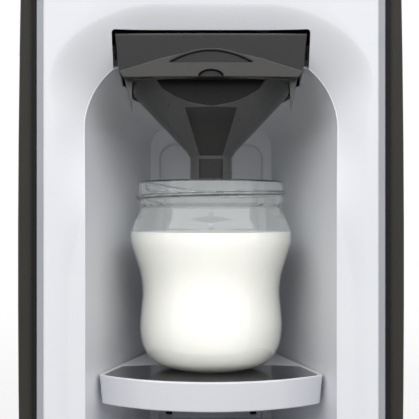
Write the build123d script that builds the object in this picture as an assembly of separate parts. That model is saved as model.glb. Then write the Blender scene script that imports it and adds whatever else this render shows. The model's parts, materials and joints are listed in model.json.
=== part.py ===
from build123d import *
import os
from math import cos, pi, radians, sin

# Upright countertop baby formula maker: powder hopper above, water tank behind,
# and a niche in front where a mixing funnel fills a bottle on its stand.
# Frame: origin under the middle of the footprint, +X right, +Y back, +Z up. Millimetres.

# ---------------------------------------------------------------- driving dimensions
WIDTH = 168.0
DEPTH = 285.0
HEIGHT = 330.0
FRONT = -DEPTH / 2
BACK = DEPTH / 2
BODY_BACK = 56.0            # back of the housing, front of the tank dock

FOOT_H = 3.0
BASE_TOP = 14.0
BASE_FLOOR = 6.0            # top of the base plate's floor
BODY_TOP = 268.0            # top of the side panels
COVER_TOP = 274.0           # top face of the top cover
HALF_IN = 75.0              # inner face of the side panels
PLATE_HALF = WIDTH / 2 - 1.5  # half width of the base plate and the top cover

BEZEL_HALF = 72.2           # white bezel, half width
BEZEL_EDGE = 0.8            # rounding of its upright edges
TRIM_OUT = 77.6             # outer edge of the black trim strips
BEZEL_T = 3.0
BEZEL_DEPTH = 24.0          # how far the bezel's sides reach back
FUNNEL_SLOT = (43.0, 206.6)  # half width and top of the opening for the funnel's front
FASCIA = (60.0, 222.0, 262.0)  # half width, bottom and top of the control fascia
LIP_DEPTH = 12.5            # depth of the rolled lip round the bay
LIP_ROUND = 11.8

BAY_HALF = 56.0             # bay at its front edge
BAY_TOP = 197.0
BAY_CORNER = 33.0
BAY_TAPER = 23.25           # how far each wall has closed in at the back
BAY_BACK = FRONT + 107.0
BAY_FLOOR = 16.5
LINER_T = 2.5

FUNNEL_Y = FRONT + 45.0     # axis of the funnel
FLAT_Y = FRONT + 15.8       # flat that cuts off the front of the cone
SPOUT_END = 142.8
CONE_TOP = 188.0
TRAY_TOP = 204.5

STAND_TOP = 53.5
STAND_H = 13.3
TONGUE_X = 22.8             # the carriage's tongues pass the guide panel's slots
TONGUE_HALF = 1.3
BOTTLE_Y = FRONT + 46.5
BOTTLE_H = 88.9

HUB_Y = FRONT + 74.0        # axis of the hopper and dosing wheel
OUTLET_R = HUB_Y - FUNNEL_Y
DECK_Z = (210.0, 213.0)
WHEEL_Z = (216.0, 222.0)
WHEEL_TEETH = 90
PINION_TEETH = 20
MODULE = 1.0
MOTOR_Y = HUB_Y + MODULE * (WHEEL_TEETH + PINION_TEETH) / 2
HOPPER_FLOOR = 226.0
HOPPER_RIM = 318.0
HOPPER_HOLE = 53.8          # radius of the opening that the hopper drops into
POWDER_HOLE = 9.0           # passages for the powder above the funnel
AXLE_R = 4.0
AXLE_BORE = AXLE_R + 0.02   # press fit in the deck and tray
POCKETS = 8                 # of the dosing wheel
POCKET_R = 7.5
SCOOP_HOLE = 11.0           # powder outlet in the hopper's floor
DOG_HALF = 4.5              # square end of the drive dog
HUB_R = 6.4                 # drive dog of the dosing wheel where it passes the hopper's floor
DRIVE_HOLE = 11.5           # hole in the hopper's floor for the dog, covered by the stirrer

WATER_Y = 28.0              # axis of pump, heater and their tubes
NOZZLE = (24.0, FRONT + 22.5)
NOZZLE_R = 3.5
BARB_R = 3.0                # spigots that the tubes are pushed over
TUBE_R = 4.4
INLET_Z = 27.0              # height of the pipe from the tank's socket to the pump
DOCK_TOP = 44.0
TANK_TOP = 288.0
TANK_HALF = 66.0
TANK_Y = (BODY_BACK + 2.0, BACK - 1.0)
VALVE_Y = 82.0

PIN_R = 1.5                 # hinge pins of both lids
KNUCKLE_R = 3.0
RUN_FIT = 0.05              # radial clearance of a shaft in its bore
SCREW_X = 78.9              # base screws, up through the base plate into the side panels
SCREW_Y = (-95, -20, 44)
SCREW_R = 1.5
SCREW_END = 24.0
FOOT_SPOT = (62, 20)        # from the middle, and in from the front and back edges
FOOT_R = 9.0
LOUVRES = 7


# ---------------------------------------------------------------- shapes used throughout
def block(x, y, z):
    """Box between low and high limits on each axis."""
    size = [high - low for low, high in (x, y, z)]
    middle = [(low + high) / 2 for low, high in (x, y, z)]
    return Pos(*middle) * Box(*size)


def disc(radius, z, at=(0.0, 0.0)):
    """Upright cylinder between two heights."""
    return Pos(at[0], at[1], (z[0] + z[1]) / 2) * Cylinder(radius, z[1] - z[0])


def rod_x(radius, x, y, z):
    """Cylinder lying across the machine."""
    return Pos((x[0] + x[1]) / 2, y, z) * Rot(0, 90, 0) * Cylinder(radius, x[1] - x[0])


def rod_y(radius, x, y, z):
    """Cylinder lying front to back."""
    return Pos(x, (y[0] + y[1]) / 2, z) * Rot(90, 0, 0) * Cylinder(radius, y[1] - y[0])


def both_sides(shape):
    """The shape and its mirror image on the other side of the machine."""
    return [shape, mirror(shape, about=Plane.YZ)]


def closed_face(y, *edges):
    """Upright face at y inside connected edges drawn in (x, z)."""
    return make_face(Plane.XZ.offset(-y) * Compound([*edges]))


def upright(points, y, depth):
    """Plate with the outline (x, z), standing at y and going back by depth."""
    outline = make_face(Plane.XZ.offset(-y) * Polyline(*points, close=True))
    return extrude(outline, amount=depth, dir=(0, 1, 0))


def turned(points, at=(0.0, 0.0)):
    """Solid of revolution from a closed (radius, z) outline."""
    outline = make_face(Plane.XZ * Polyline(*points, close=True))
    return Pos(at[0], at[1], 0) * revolve(outline, axis=Axis.Z)


def hose(points, radius, bend):
    """Round solid along straight runs joined by arcs."""
    path = FilletPolyline(*points, radius=bend)
    start = Plane(origin=path @ 0, z_dir=path % 0)
    return sweep(start * Circle(radius), path=path)


def bay_outline(grow, y):
    """Upright opening with round top corners, open-ended below the base top."""
    bottom = BASE_TOP - 40.0
    top = BAY_TOP + grow
    flat = Pos(0, (bottom + top) / 2) * Rectangle(2 * (BAY_HALF + grow), top - bottom)
    flat = fillet(flat.vertices().group_by(Axis.Y)[-1], BAY_CORNER + grow)
    return Plane.XZ.offset(-y) * flat


def spur_gear(teeth, z, at):
    """Spur gear with a tooth on the +X side and straight flanks close to an involute."""
    pitch_r = MODULE * teeth / 2
    tip_r = pitch_r + 0.95 * MODULE
    root_r = pitch_r - 1.25 * MODULE
    pitch_angle = 2 * pi / teeth
    outline = []
    for tooth in range(teeth):
        middle = tooth * pitch_angle
        for radius, share in ((root_r, -0.31), (pitch_r, -0.235), (tip_r, -0.12),
                              (tip_r, 0.12), (pitch_r, 0.235), (root_r, 0.31)):
            angle = middle + share * pitch_angle
            outline.append((radius * cos(angle), radius * sin(angle)))
    face = make_face(Polyline(*outline, close=True))
    return Pos(at[0], at[1], z[0]) * extrude(face, amount=z[1] - z[0])


# ---------------------------------------------------------------- base
def make_base():
    floor = block((-PLATE_HALF, PLATE_HALF), (FRONT, BACK), (FOOT_H, BASE_TOP))
    floor = fillet(floor.edges().filter_by(Axis.Z), 9)
    well = block((-77, 77), (FRONT + 4, BACK - 4), (BASE_FLOOR, BASE_TOP + 1))
    floor -= fillet(well.edges().filter_by(Axis.Z), 5)
    louvre_start, louvre_pitch, louvre_width = 6, 6, 3
    for louvre in range(LOUVRES):
        y = louvre_start + louvre * louvre_pitch
        floor -= block((-30, 30), (y, y + louvre_width), (0, BASE_FLOOR + 1))
    head_r, head_top = 1.9, FOOT_H + 2
    screws = []
    for spot in [(side * SCREW_X, y) for side in (-1, 1) for y in SCREW_Y]:
        floor -= disc(SCREW_R + RUN_FIT, (0, BASE_TOP + 6), spot)
        floor -= disc(head_r + RUN_FIT, (0, head_top + RUN_FIT), spot)
        screws.append(disc(SCREW_R, (head_top, SCREW_END), spot) + disc(head_r, (FOOT_H, head_top), spot))
    feet = []
    for x in (-FOOT_SPOT[0], FOOT_SPOT[0]):
        for y in (FRONT + FOOT_SPOT[1], BACK - FOOT_SPOT[1]):
            foot = disc(FOOT_R, (0, FOOT_H), (x, y))
            feet.append(chamfer(foot.edges().group_by(Axis.Z)[0], 0.8))
    return {"base_plate": floor, "base_screws": Compound(screws), "rubber_feet": Compound(feet)}


# ---------------------------------------------------------------- housing
def make_front_shell():
    back = FRONT + BEZEL_DEPTH
    shell = block((-BEZEL_HALF, BEZEL_HALF), (FRONT, back), (BASE_TOP, BODY_TOP))
    shell = fillet(shell.edges().filter_by(Axis.Z).group_by(Axis.Y)[0], BEZEL_EDGE)
    shell -= block((-BEZEL_HALF + 3, BEZEL_HALF - 3), (FRONT + BEZEL_T, back + 1),
                   (BASE_TOP - 1, BODY_TOP - 3))
    lip = extrude(bay_outline(LIP_ROUND + 0.7, FRONT + 1), amount=LIP_DEPTH - 1, dir=(0, 1, 0))
    shell += lip & block((-71, 71), (FRONT, back), (BASE_TOP, BODY_TOP - 3))
    shell -= extrude(bay_outline(0, FRONT - 1), amount=40, dir=(0, 1, 0))
    front_edges = [edge for edge in shell.edges()
                   if abs(edge.center().Y - FRONT) < 0.01
                   and abs(edge.center().X) < BAY_HALF + 0.5
                   and BASE_TOP + 1 < edge.center().Z < BAY_TOP + 1]
    shell = fillet(front_edges, LIP_ROUND)
    shell -= block((-FUNNEL_SLOT[0], FUNNEL_SLOT[0]), (FRONT - 1, back), (150, FUNNEL_SLOT[1]))
    shell -= block((-FASCIA[0], FASCIA[0]), (FRONT - 1, FRONT + BEZEL_T + 1), FASCIA[1:])
    shell -= disc(HOPPER_HOLE, (250, 280), (0, HUB_Y))
    return {"front_shell": shell}


def make_side(side):
    """One side cover: bowed outside, flat inside, stepped in front for the trim strip."""
    bottom, top = (WIDTH / 2 - 0.6, BASE_TOP), (WIDTH / 2 - 2.1, BODY_TOP)
    face = closed_face(-140.0, ThreePointArc(bottom, (WIDTH / 2, 110), top),
                       Polyline(top, (HALF_IN, BODY_TOP), (HALF_IN, BASE_TOP), bottom))
    panel = extrude(face, amount=140.0 + BODY_BACK, dir=(0, 1, 0))
    panel = fillet([edge for edge in panel.edges()
                    if edge.center().Y < -139.9 and edge.center().X > 80], 3.0)
    panel -= block((70, TRIM_OUT), (FRONT, FRONT + 10), (0, HEIGHT))
    panel -= block((70, 77.5), (FRONT + 16, BODY_BACK - 6), (BASE_TOP + 5, BODY_TOP - 5))
    for y in SCREW_Y:
        panel -= disc(SCREW_R + RUN_FIT, (0, SCREW_END + 0.5), (SCREW_X, y))
    if side < 0:
        panel = mirror(panel, about=Plane.YZ)
    return panel


def make_trims():
    grey = block((BEZEL_HALF, HALF_IN), (FRONT + 0.8, FRONT + BEZEL_DEPTH), (BASE_TOP, BODY_TOP))
    black = block((HALF_IN, TRIM_OUT), (FRONT + 0.2, FRONT + 10), (BASE_TOP, BODY_TOP))
    black = fillet(black.edges().filter_by(Axis.Z).group_by(Axis.Y)[0], 0.8)
    return {"bezel_trims": Compound(both_sides(grey)), "side_trims": Compound(both_sides(black))}


def make_bay():
    front = FRONT + LIP_DEPTH
    back = BAY_BACK + LINER_T
    outer = loft([bay_outline(LINER_T, front), bay_outline(LINER_T - BAY_TAPER, back)], ruled=True)
    inner = loft([bay_outline(0, front - 0.01), bay_outline(-BAY_TAPER, BAY_BACK)], ruled=True)
    outer &= block((-80, 80), (FRONT, back), (BASE_TOP, 230))
    inner &= block((-80, 80), (FRONT, back), (BAY_FLOOR, 230))
    liner = outer - inner
    cone_room = [(34.5, 178.5), (38.5, 182.7), (39.8, 186.0)]
    liner -= turned([(0, 178.5), *cone_room, (0, 186.0)], (0, FUNNEL_Y))
    liner -= upright(cone_room + [(-x, z) for x, z in cone_room[::-1]], FRONT, FUNNEL_Y - FRONT)
    liner -= block((-41, 41), (FRONT, FRONT + 88), (186, 230))
    liner -= block((-47.3, 47.3), (FRONT, FRONT + 92), (192, 230))
    panel_half, panel_top, panel_corner = 28.0, 165.0, 8.0
    window = block((-panel_half, panel_half), (BAY_BACK - 5, back + 1), (BAY_FLOOR, panel_top))
    window = fillet(window.edges().filter_by(Axis.Y).group_by(Axis.Z)[-1], panel_corner)
    liner -= window
    panel = block((-panel_half, panel_half), (BAY_BACK - 1.5, back), (BAY_FLOOR, panel_top))
    panel = fillet(panel.edges().filter_by(Axis.Y).group_by(Axis.Z)[-1], panel_corner)
    panel = chamfer(panel.faces().sort_by(Axis.Y)[0].edges().sort_by(Axis.Z)[1:], 0.9)
    slot_half = TONGUE_HALF + 0.4
    for x in (-TONGUE_X, TONGUE_X):
        panel -= block((x - slot_half, x + slot_half), (BAY_BACK - 5, back + 1), (18.5, 54.5))
    return {"bay_liner": liner, "guide_panel": panel}


def make_upper_housing():
    bulkhead = block((-HALF_IN, HALF_IN), (BODY_BACK - 3, BODY_BACK), (BASE_TOP, BODY_TOP))
    bulkhead -= rod_y(TUBE_R + 1.1, 0, (40, 70), INLET_Z)
    cover = block((-PLATE_HALF, PLATE_HALF), (FRONT, BODY_BACK), (BODY_TOP, COVER_TOP))
    cover = fillet(cover.edges().filter_by(Axis.Z), 7)
    cover = fillet(cover.edges().group_by(Axis.Z)[-1], 3)
    cover -= disc(HOPPER_HOLE, (200, 300), (0, HUB_Y))
    deck = block((-HALF_IN, HALF_IN), (FRONT + BEZEL_DEPTH, BODY_BACK - 3), DECK_Z)
    deck += block((-47, 47), (FRONT + 16, FRONT + BEZEL_DEPTH), DECK_Z)
    through = (200, 220)
    for radius, spot in ((POWDER_HOLE, (0, FUNNEL_Y)), (NOZZLE_R + 0.1, NOZZLE), (AXLE_BORE, (0, HUB_Y)),
                         (4.0, (0, MOTOR_Y)), (4.0, (0, WATER_Y))):
        deck -= disc(radius, through, spot)
    deck -= block((-69, -63), (2, 24), through)
    return {"rear_bulkhead": bulkhead, "top_cover": cover, "mixing_deck": deck}


# ---------------------------------------------------------------- controls
BUTTONS = {                 # name: (x, z, radius)
    "button_power": (-47.0, 250.0, 5.0),
    "button_temperature": (-47.0, 234.0, 5.0),
    "button_less": (-31.0, 234.0, 5.0),
    "button_more": (-31.0, 250.0, 5.0),
    "button_formula": (33.0, 250.0, 5.0),
    "button_start": (44.0, 236.0, 8.0),
}
FASCIA_Y = (FRONT + 1.2, FRONT + 4.4)
CAP_FLANGE = (FRONT + 4.8, FRONT + 6.0)
STEM_END = FRONT + 8.4
BOARD_Y = (FRONT + 12.0, FRONT + 13.6)
SWITCH_H = 2.0
LOOM_END = (-58.0, FRONT + 18.0, 243.0)


def make_controls():
    window_x, window_z = (-21.0, 21.0), (230.0, 255.0)
    plate = block((-FASCIA[0], FASCIA[0]), FASCIA_Y, FASCIA[1:])
    fascia = fillet(plate.edges().filter_by(Axis.Y), 3)
    fascia += block((-64, 64), (FRONT + BEZEL_T, FASCIA_Y[1]), (219, 264.5))
    through = (FRONT, FRONT + 10)
    fascia -= block(window_x, through, window_z)
    parts = {}
    switches = []
    for name, (x, z, radius) in BUTTONS.items():
        fascia -= rod_y(radius + 0.3, x, through, z)
        cap = rod_y(radius, x, (FRONT + 0.2, CAP_FLANGE[0]), z)
        cap = fillet(cap.edges().group_by(Axis.Y)[0], 0.6)
        cap += rod_y(radius + 1.2, x, CAP_FLANGE, z)
        cap += rod_y(2.0, x, (CAP_FLANGE[1], STEM_END), z)
        parts[name] = cap
        switches.append(block((x - 3, x + 3), (BOARD_Y[0] - SWITCH_H, BOARD_Y[0]), (z - 3, z + 3)))
    board = block((-62, 62), BOARD_Y, (223, 262))
    board += block((-61, -55), (BOARD_Y[1], LOOM_END[1]), (LOOM_END[2] - 3, LOOM_END[2] + 3))
    module = block((-24, 24), (FASCIA_Y[1], FRONT + 9), (227, 258))
    parts["control_fascia"] = fascia
    parts["display_window"] = block(window_x, (FRONT + 1.5, FRONT + 3.5), window_z)
    parts["display_module"] = module
    parts["control_board"] = board
    parts["tact_switches"] = Compound(switches)
    return parts


# ---------------------------------------------------------------- funnel
def make_funnel():
    axis = (0, FUNNEL_Y)
    outside = turned([(0, CONE_TOP), (38.6, CONE_TOP), (36.5, 182.7), (11.7, 156.5),
                      (9.9, 153.5), (9.9, SPOUT_END), (0, SPOUT_END)], axis)
    inside = turned([(0, CONE_TOP + 3), (36.6, CONE_TOP + 3), (36.6, CONE_TOP), (34.6, 183.4),
                     (9.8, 157.2), (8.1, 154.2), (8.1, SPOUT_END - 1), (0, SPOUT_END - 1)], axis)
    inside &= block((-60, 60), (FLAT_Y + 1.8, BACK), (0, HEIGHT))
    tray_y = (FRONT + 13.0, FRONT + 84.0)
    tray = block((-39, 39), tray_y, (CONE_TOP, TRAY_TOP))
    tray = fillet(tray.edges().filter_by(Axis.Z), 5)
    room = block((-37, 37), (tray_y[0] + 2, tray_y[1] - 2), (CONE_TOP + 2, TRAY_TOP + 1))
    tray -= fillet(room.edges().filter_by(Axis.Z), 3.5)
    funnel = tray + (outside & block((-60, 60), (FLAT_Y, BACK), (0, CONE_TOP))) - inside
    funnel += block((-38.6, 38.6), (FRONT + 8, tray_y[0] + 1), (CONE_TOP - 0.6, CONE_TOP + 2))
    for shape in both_sides(block((38, 42.4), (FRONT + 15, tray_y[1]), (196, 198.5))):
        funnel += shape
    for side in (-1, 1):
        fin = [(side * 38.4, CONE_TOP), (side * 34.6, CONE_TOP), (side * 35.0, 171.5)]
        funnel += upright(fin, FRONT + 10, 1.6)

    front = (FRONT + 5.0, FRONT + 8.0)
    panel = upright([(-42.1, 205.6), (42.1, 205.6), (40.3, 190.0), (39.9, 188.2),
                     (37.3, 185.2), (-37.3, 185.2), (-39.9, 188.2), (-40.3, 190.0)],
                    front[0], front[1] - front[0])
    arch = closed_face(front[0], Line((-40.2, 188.6), (40.2, 188.6)),
                       ThreePointArc((-40.2, 188.6), (0, 197.4), (40.2, 188.6)))
    panel -= extrude(arch, amount=1.4, dir=(0, 1, 0))
    panel += block((-39.9, 39.9), (front[0] - 0.9, front[1]), (186.4, 192.2))
    pull = closed_face(front[0], Line((-17.6, 192.6), (17.6, 192.6)),
                       ThreePointArc((-17.6, 192.6), (0, 196.8), (17.6, 192.6)))
    panel -= extrude(pull, amount=front[1] - front[0], dir=(0, 1, 0))
    panel += block((-41, 41), (front[1], FRONT + 12.5), (TRAY_TOP - 0.6, 205.6))
    for shape in both_sides(block((40, 41), (front[1], FRONT + 12.5), (192, 205.6))):
        panel += shape

    rail = block((39.8, 47), (FRONT + 16, FRONT + 90), (192.8, 202.0))
    rail -= block((39, 43), (FRONT + 15, FRONT + 91), (195.7, 198.9))
    rail += block((44.5, 47), (FRONT + 16, FRONT + 90), (202.0, DECK_Z[0]))
    return {"funnel": funnel, "funnel_cover": panel, "funnel_rails": Compound(both_sides(rail))}


# ---------------------------------------------------------------- bottle and stand
def stand_outline(shrink):
    """Plan of the stand: bowed front, sides that close in towards the back."""
    corner = (51.5 - shrink, FRONT + 26.0)
    rear = (33.5 - shrink, FRONT + 99.0 - shrink)
    nose = (0.0, FRONT + 4.0 + shrink)
    edges = Curve() + [ThreePointArc((-corner[0], corner[1]), nose, corner),
                       Line(corner, rear), Line(rear, (-rear[0], rear[1])),
                       Line((-rear[0], rear[1]), (-corner[0], corner[1]))]
    face = make_face(edges)
    return fillet([v for v in face.vertices() if v.Y < FRONT + 30], 3.5)


def make_stand():
    bottom = STAND_TOP - STAND_H
    stand = loft([Pos(0, 0, bottom) * stand_outline(1.4), Pos(0, 0, STAND_TOP) * stand_outline(0)],
                 ruled=True)
    stand -= Pos(0, 0, bottom - 0.01) * extrude(stand_outline(4.2), amount=STAND_H - 3.5)
    back_arc = Pos(0, FRONT + 57.0 - 142.0) * Circle(142.0)
    inlay = stand_outline(2.4) & back_arc
    inlay_depth = 1.4
    stand -= Pos(0, 0, STAND_TOP - inlay_depth) * extrude(inlay, amount=inlay_depth + 1)
    insert = Pos(0, 0, STAND_TOP - inlay_depth) * extrude(inlay, amount=inlay_depth)
    tongue_z = (42.0, 52.0)
    carriage = block((-27, 27), (FRONT + 112, FRONT + 115), (41, 53))
    for x in (-TONGUE_X, TONGUE_X):
        carriage += block((x - TONGUE_HALF, x + TONGUE_HALF), (FRONT + 99, FRONT + 112), tongue_z)
    return {"stand": stand, "stand_insert": insert, "stand_carriage": carriage}


def make_bottle():
    wall, floor = 1.8, 2.4
    profile = [(18.0, 0.0), (27.5, 3.6), (32.4, 10.5), (33.9, 19.3), (32.5, 37.5), (36.2, 53.0),
               (38.3, 62.5), (36.6, 70.5), (34.5, 74.5)]
    neck = [(34.5, 74.5), (34.5, 79.0), (36.0, 80.2), (36.0, 82.6), (35.0, 83.6),
            (35.0, BOTTLE_H), (35.0 - wall, BOTTLE_H), (34.5 - wall, 74.5)]
    outer = Spline(*profile)
    inner = Spline(*[(r - wall, z) for r, z in profile[:0:-1]] + [(17.0, floor)])
    shoulder = Polyline(*neck)
    bottom = Polyline((17.0, floor), (0, floor), (0, 0), (18.0, 0.0))
    face = make_face(Plane.XZ * (Curve() + [outer, shoulder, inner, bottom]))
    bottle = revolve(face, axis=Axis.Z)
    return {"bottle": Pos(0, BOTTLE_Y, STAND_TOP) * bottle}


# ---------------------------------------------------------------- powder side
def make_dosing():
    centre = (0, HUB_Y)
    rim_r, rim_top, tray_floor = 50.0, 224.0, 215.4
    through = (200, 240)
    tray = disc(rim_r, (DECK_Z[1], rim_top), centre) - disc(rim_r - 2.8, (tray_floor, 225), centre)
    tray -= block((-12.5, 12.5), (HUB_Y + 38, HUB_Y + 60), (tray_floor, 225))
    tray -= disc(POWDER_HOLE, through, (0, FUNNEL_Y)) + disc(AXLE_BORE, through, centre)
    tray -= disc(12.5, through, (0, MOTOR_Y))
    wheel = spur_gear(WHEEL_TEETH, WHEEL_Z, centre)
    for pocket in range(POCKETS):
        angle = 2 * pi * (pocket + 0.5) / POCKETS
        wheel -= disc(POCKET_R, through, (OUTLET_R * cos(angle), HUB_Y + OUTLET_R * sin(angle)))
    bore = disc(AXLE_R + RUN_FIT, (200, 225.5), centre)
    wheel -= bore
    dog = disc(HUB_R, (WHEEL_Z[1], 228), centre)
    dog += block((-DOG_HALF, DOG_HALF), (HUB_Y - DOG_HALF, HUB_Y + DOG_HALF), (228, 240))
    dog -= bore
    axle = disc(AXLE_R, (209, 225), centre)
    seal = disc(rim_r, (rim_top, HOPPER_FLOOR), centre) - disc(rim_r - 2, (223, 230), centre)
    return {"dosing_tray": tray, "dosing_wheel": wheel, "drive_dog": dog, "dosing_axle": axle,
            "hopper_seal": seal}


def make_hopper():
    centre = (0, HUB_Y)
    low_r, high_r, wall = 53.0, 58.0, 2.2
    hopper = turned([(0, HOPPER_FLOOR), (low_r, HOPPER_FLOOR), (low_r, COVER_TOP),
                     (high_r, COVER_TOP), (high_r, HOPPER_RIM), (high_r - wall, HOPPER_RIM),
                     (high_r - wall, COVER_TOP + wall), (low_r - wall, COVER_TOP + wall),
                     (low_r - wall, HOPPER_FLOOR + wall), (0, HOPPER_FLOOR + wall)], centre)
    through = (HOPPER_FLOOR - 6, HOPPER_FLOOR + 4)
    hopper -= disc(DRIVE_HOLE, through, centre)
    hopper -= disc(SCOOP_HOLE, through, (0, HUB_Y + OUTLET_R))
    pin_y, pin_z = HUB_Y + 61.5, HOPPER_RIM + 1.0
    for shape in both_sides(block((9.3, 15), (HUB_Y + 57, pin_y + 3), (HOPPER_RIM - 10, pin_z))
                            + rod_x(KNUCKLE_R, (9.3, 15), pin_y, pin_z)):
        hopper += shape
    hopper -= rod_x(PIN_R, (-20, 20), pin_y, pin_z)
    skirt_in, skirt_out, skirt_top = 55.2, 58.5, HOPPER_RIM + 3
    lid = turned([(0, HEIGHT - 2.4), (52, HEIGHT - 3.4), (skirt_in, skirt_top), (skirt_in, HOPPER_RIM),
                  (skirt_out, HOPPER_RIM), (skirt_out, skirt_top), (54.5, HEIGHT - 1.6), (0, HEIGHT)],
                 centre)
    for notch in both_sides(block((8.9, 15.4), (HUB_Y + 54, HUB_Y + 70),
                                  (HOPPER_RIM - 1, pin_z + 3.4))):
        lid -= notch
    lid += block((-8.9, 8.9), (HUB_Y + 56.5, pin_y), (pin_z - 0.6, pin_z + 2.6))
    lid += rod_x(KNUCKLE_R, (-8.9, 8.9), pin_y, pin_z)
    lid -= rod_x(PIN_R + RUN_FIT, (-20, 20), pin_y, pin_z)
    lid += block((-9, 9), (HUB_Y - 62, HUB_Y - 57.5), (HOPPER_RIM + 0.3, HOPPER_RIM + 2.8))
    pin = rod_x(PIN_R, (-15, 15), pin_y, pin_z)
    stirrer = disc(DRIVE_HOLE + 1.5, (229.2, 246), centre)
    socket_half = DOG_HALF + 0.4
    stirrer -= block((-socket_half, socket_half), (HUB_Y - socket_half, HUB_Y + socket_half),
                     (220, 241))
    arms, arm_half, arm_low = 3, 1.6, 230
    bar = block((12, 44), (-arm_half, arm_half), (arm_low, 233.5))
    bar += block((40, 44), (-arm_half, arm_half), (arm_low, 258))
    for arm in range(arms):
        stirrer += Pos(0, HUB_Y, 0) * Rot(0, 0, 360 * arm / arms) * bar
    return {"hopper": hopper, "hopper_lid": lid, "lid_pin": pin, "stirrer": stirrer}


def make_drive():
    centre = (0, MOTOR_Y)
    motor = disc(18.5, (184, DECK_Z[0]), centre) + disc(16, (146, 184), centre)
    shaft_r = 3.0
    motor -= disc(shaft_r + RUN_FIT, (199.5, 215), centre)
    pinion = spur_gear(PINION_TEETH, WHEEL_Z, centre)
    pinion += disc(6, (213.5, WHEEL_Z[0]), centre) + disc(shaft_r, (200, 223.5), centre)
    return {"gear_motor": motor, "motor_pinion": pinion}


# ---------------------------------------------------------------- water side
def make_water():
    centre = (0, WATER_Y)
    heater_r, heater_z, spigot = 19.0, (84, 188), 8
    heater = disc(heater_r, heater_z, centre)
    heater += disc(BARB_R, (heater_z[0] - spigot, heater_z[1] + spigot), centre)
    bracket = block((-24, 24), (WATER_Y + 4, BODY_BACK - 3), (126, 146))
    bracket -= disc(heater_r, heater_z, centre)
    pump = block((-17, 17), (WATER_Y - 17, WATER_Y + 17), (BASE_FLOOR, 38))
    pump = fillet(pump.edges().filter_by(Axis.Z), 5)
    pump += disc(14, (38, 44), centre) + disc(BARB_R, (44, 52), centre)
    pump += rod_y(BARB_R, 0, (WATER_Y + 17, WATER_Y + 23), INLET_Z)
    lift = disc(TUBE_R, (46, 82), centre) - disc(BARB_R, (40, 90), centre)
    inlet = rod_y(TUBE_R, 0, (WATER_Y + 18, 68.5), INLET_Z)
    inlet -= rod_y(BARB_R, 0, (WATER_Y + 10, 80), INLET_Z)
    nozzle = disc(NOZZLE_R, (206.8, 222), NOZZLE) + disc(6, (DECK_Z[1], DECK_Z[1] + 2), NOZZLE)
    nozzle -= disc(2, (200, 230), NOZZLE)
    hot = hose([(NOZZLE[0], NOZZLE[1], 222), (NOZZLE[0], NOZZLE[1], 236), (62, -106, 236),
                (64, -20, 234), (50, 27, 236), (0, WATER_Y, 236), (0, WATER_Y, 196)], 3.0, 9.0)
    return {"water_heater": heater, "heater_bracket": bracket, "water_pump": pump,
            "lift_tube": lift, "inlet_tube": inlet, "water_nozzle": nozzle, "hot_water_tube": hot}


def make_electrics():
    board = block((-70, -68.4), (-30, 46), (60, 180))
    board += block((-68.4, -48), (-20, 8), (120, 150)) + block((-68.4, -52), (16, 36), (80, 96))
    board += rod_x(7, (-68.4, -44), -12, 90)
    loom = hose([(-66, 20, 180), (-66, 20, 216), (-66, -40, 222), (-58, -105, 243),
                 LOOM_END], 1.8, 8.0)
    return {"power_board": board, "wiring_loom": loom}


# ---------------------------------------------------------------- tank side
def make_dock():
    dock = block((-70, 70), (BODY_BACK, BACK), (BASE_TOP, DOCK_TOP))
    dock = fillet(dock.edges().filter_by(Axis.Z).group_by(Axis.Y)[-1], 12)
    dock -= block((-67, 67), (BODY_BACK - 1, BACK - 3), (BASE_TOP - 1, DOCK_TOP - 3))
    socket_r = 13.0
    dock -= disc(socket_r, (30, 60), (0, VALVE_Y))
    inlet_x, inlet_z = (-52.0, -24.0), (20.0, 37.0)
    dock -= block(inlet_x, (BACK - 10, BACK + 1), inlet_z)
    socket = disc(socket_r, (24, DOCK_TOP), (0, VALVE_Y))
    socket -= disc(socket_r - 2, (27, 60), (0, VALVE_Y))
    socket += disc(2, (26, 35.0), (0, VALVE_Y)) + rod_y(BARB_R, 0, (62, 72), INLET_Z)
    power = block(inlet_x, (BACK - 22, BACK), inlet_z)
    recess = block((-48, -28), (BACK - 14, BACK + 1), (23.5, 33.5))
    power -= fillet(recess.edges().filter_by(Axis.Y), 3)
    for x in (-42, -34):
        power += rod_y(1.2, x, (BACK - 14.5, BACK - 2), 28.5)
    return {"tank_dock": dock, "dock_socket": socket, "power_inlet": power}


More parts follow.
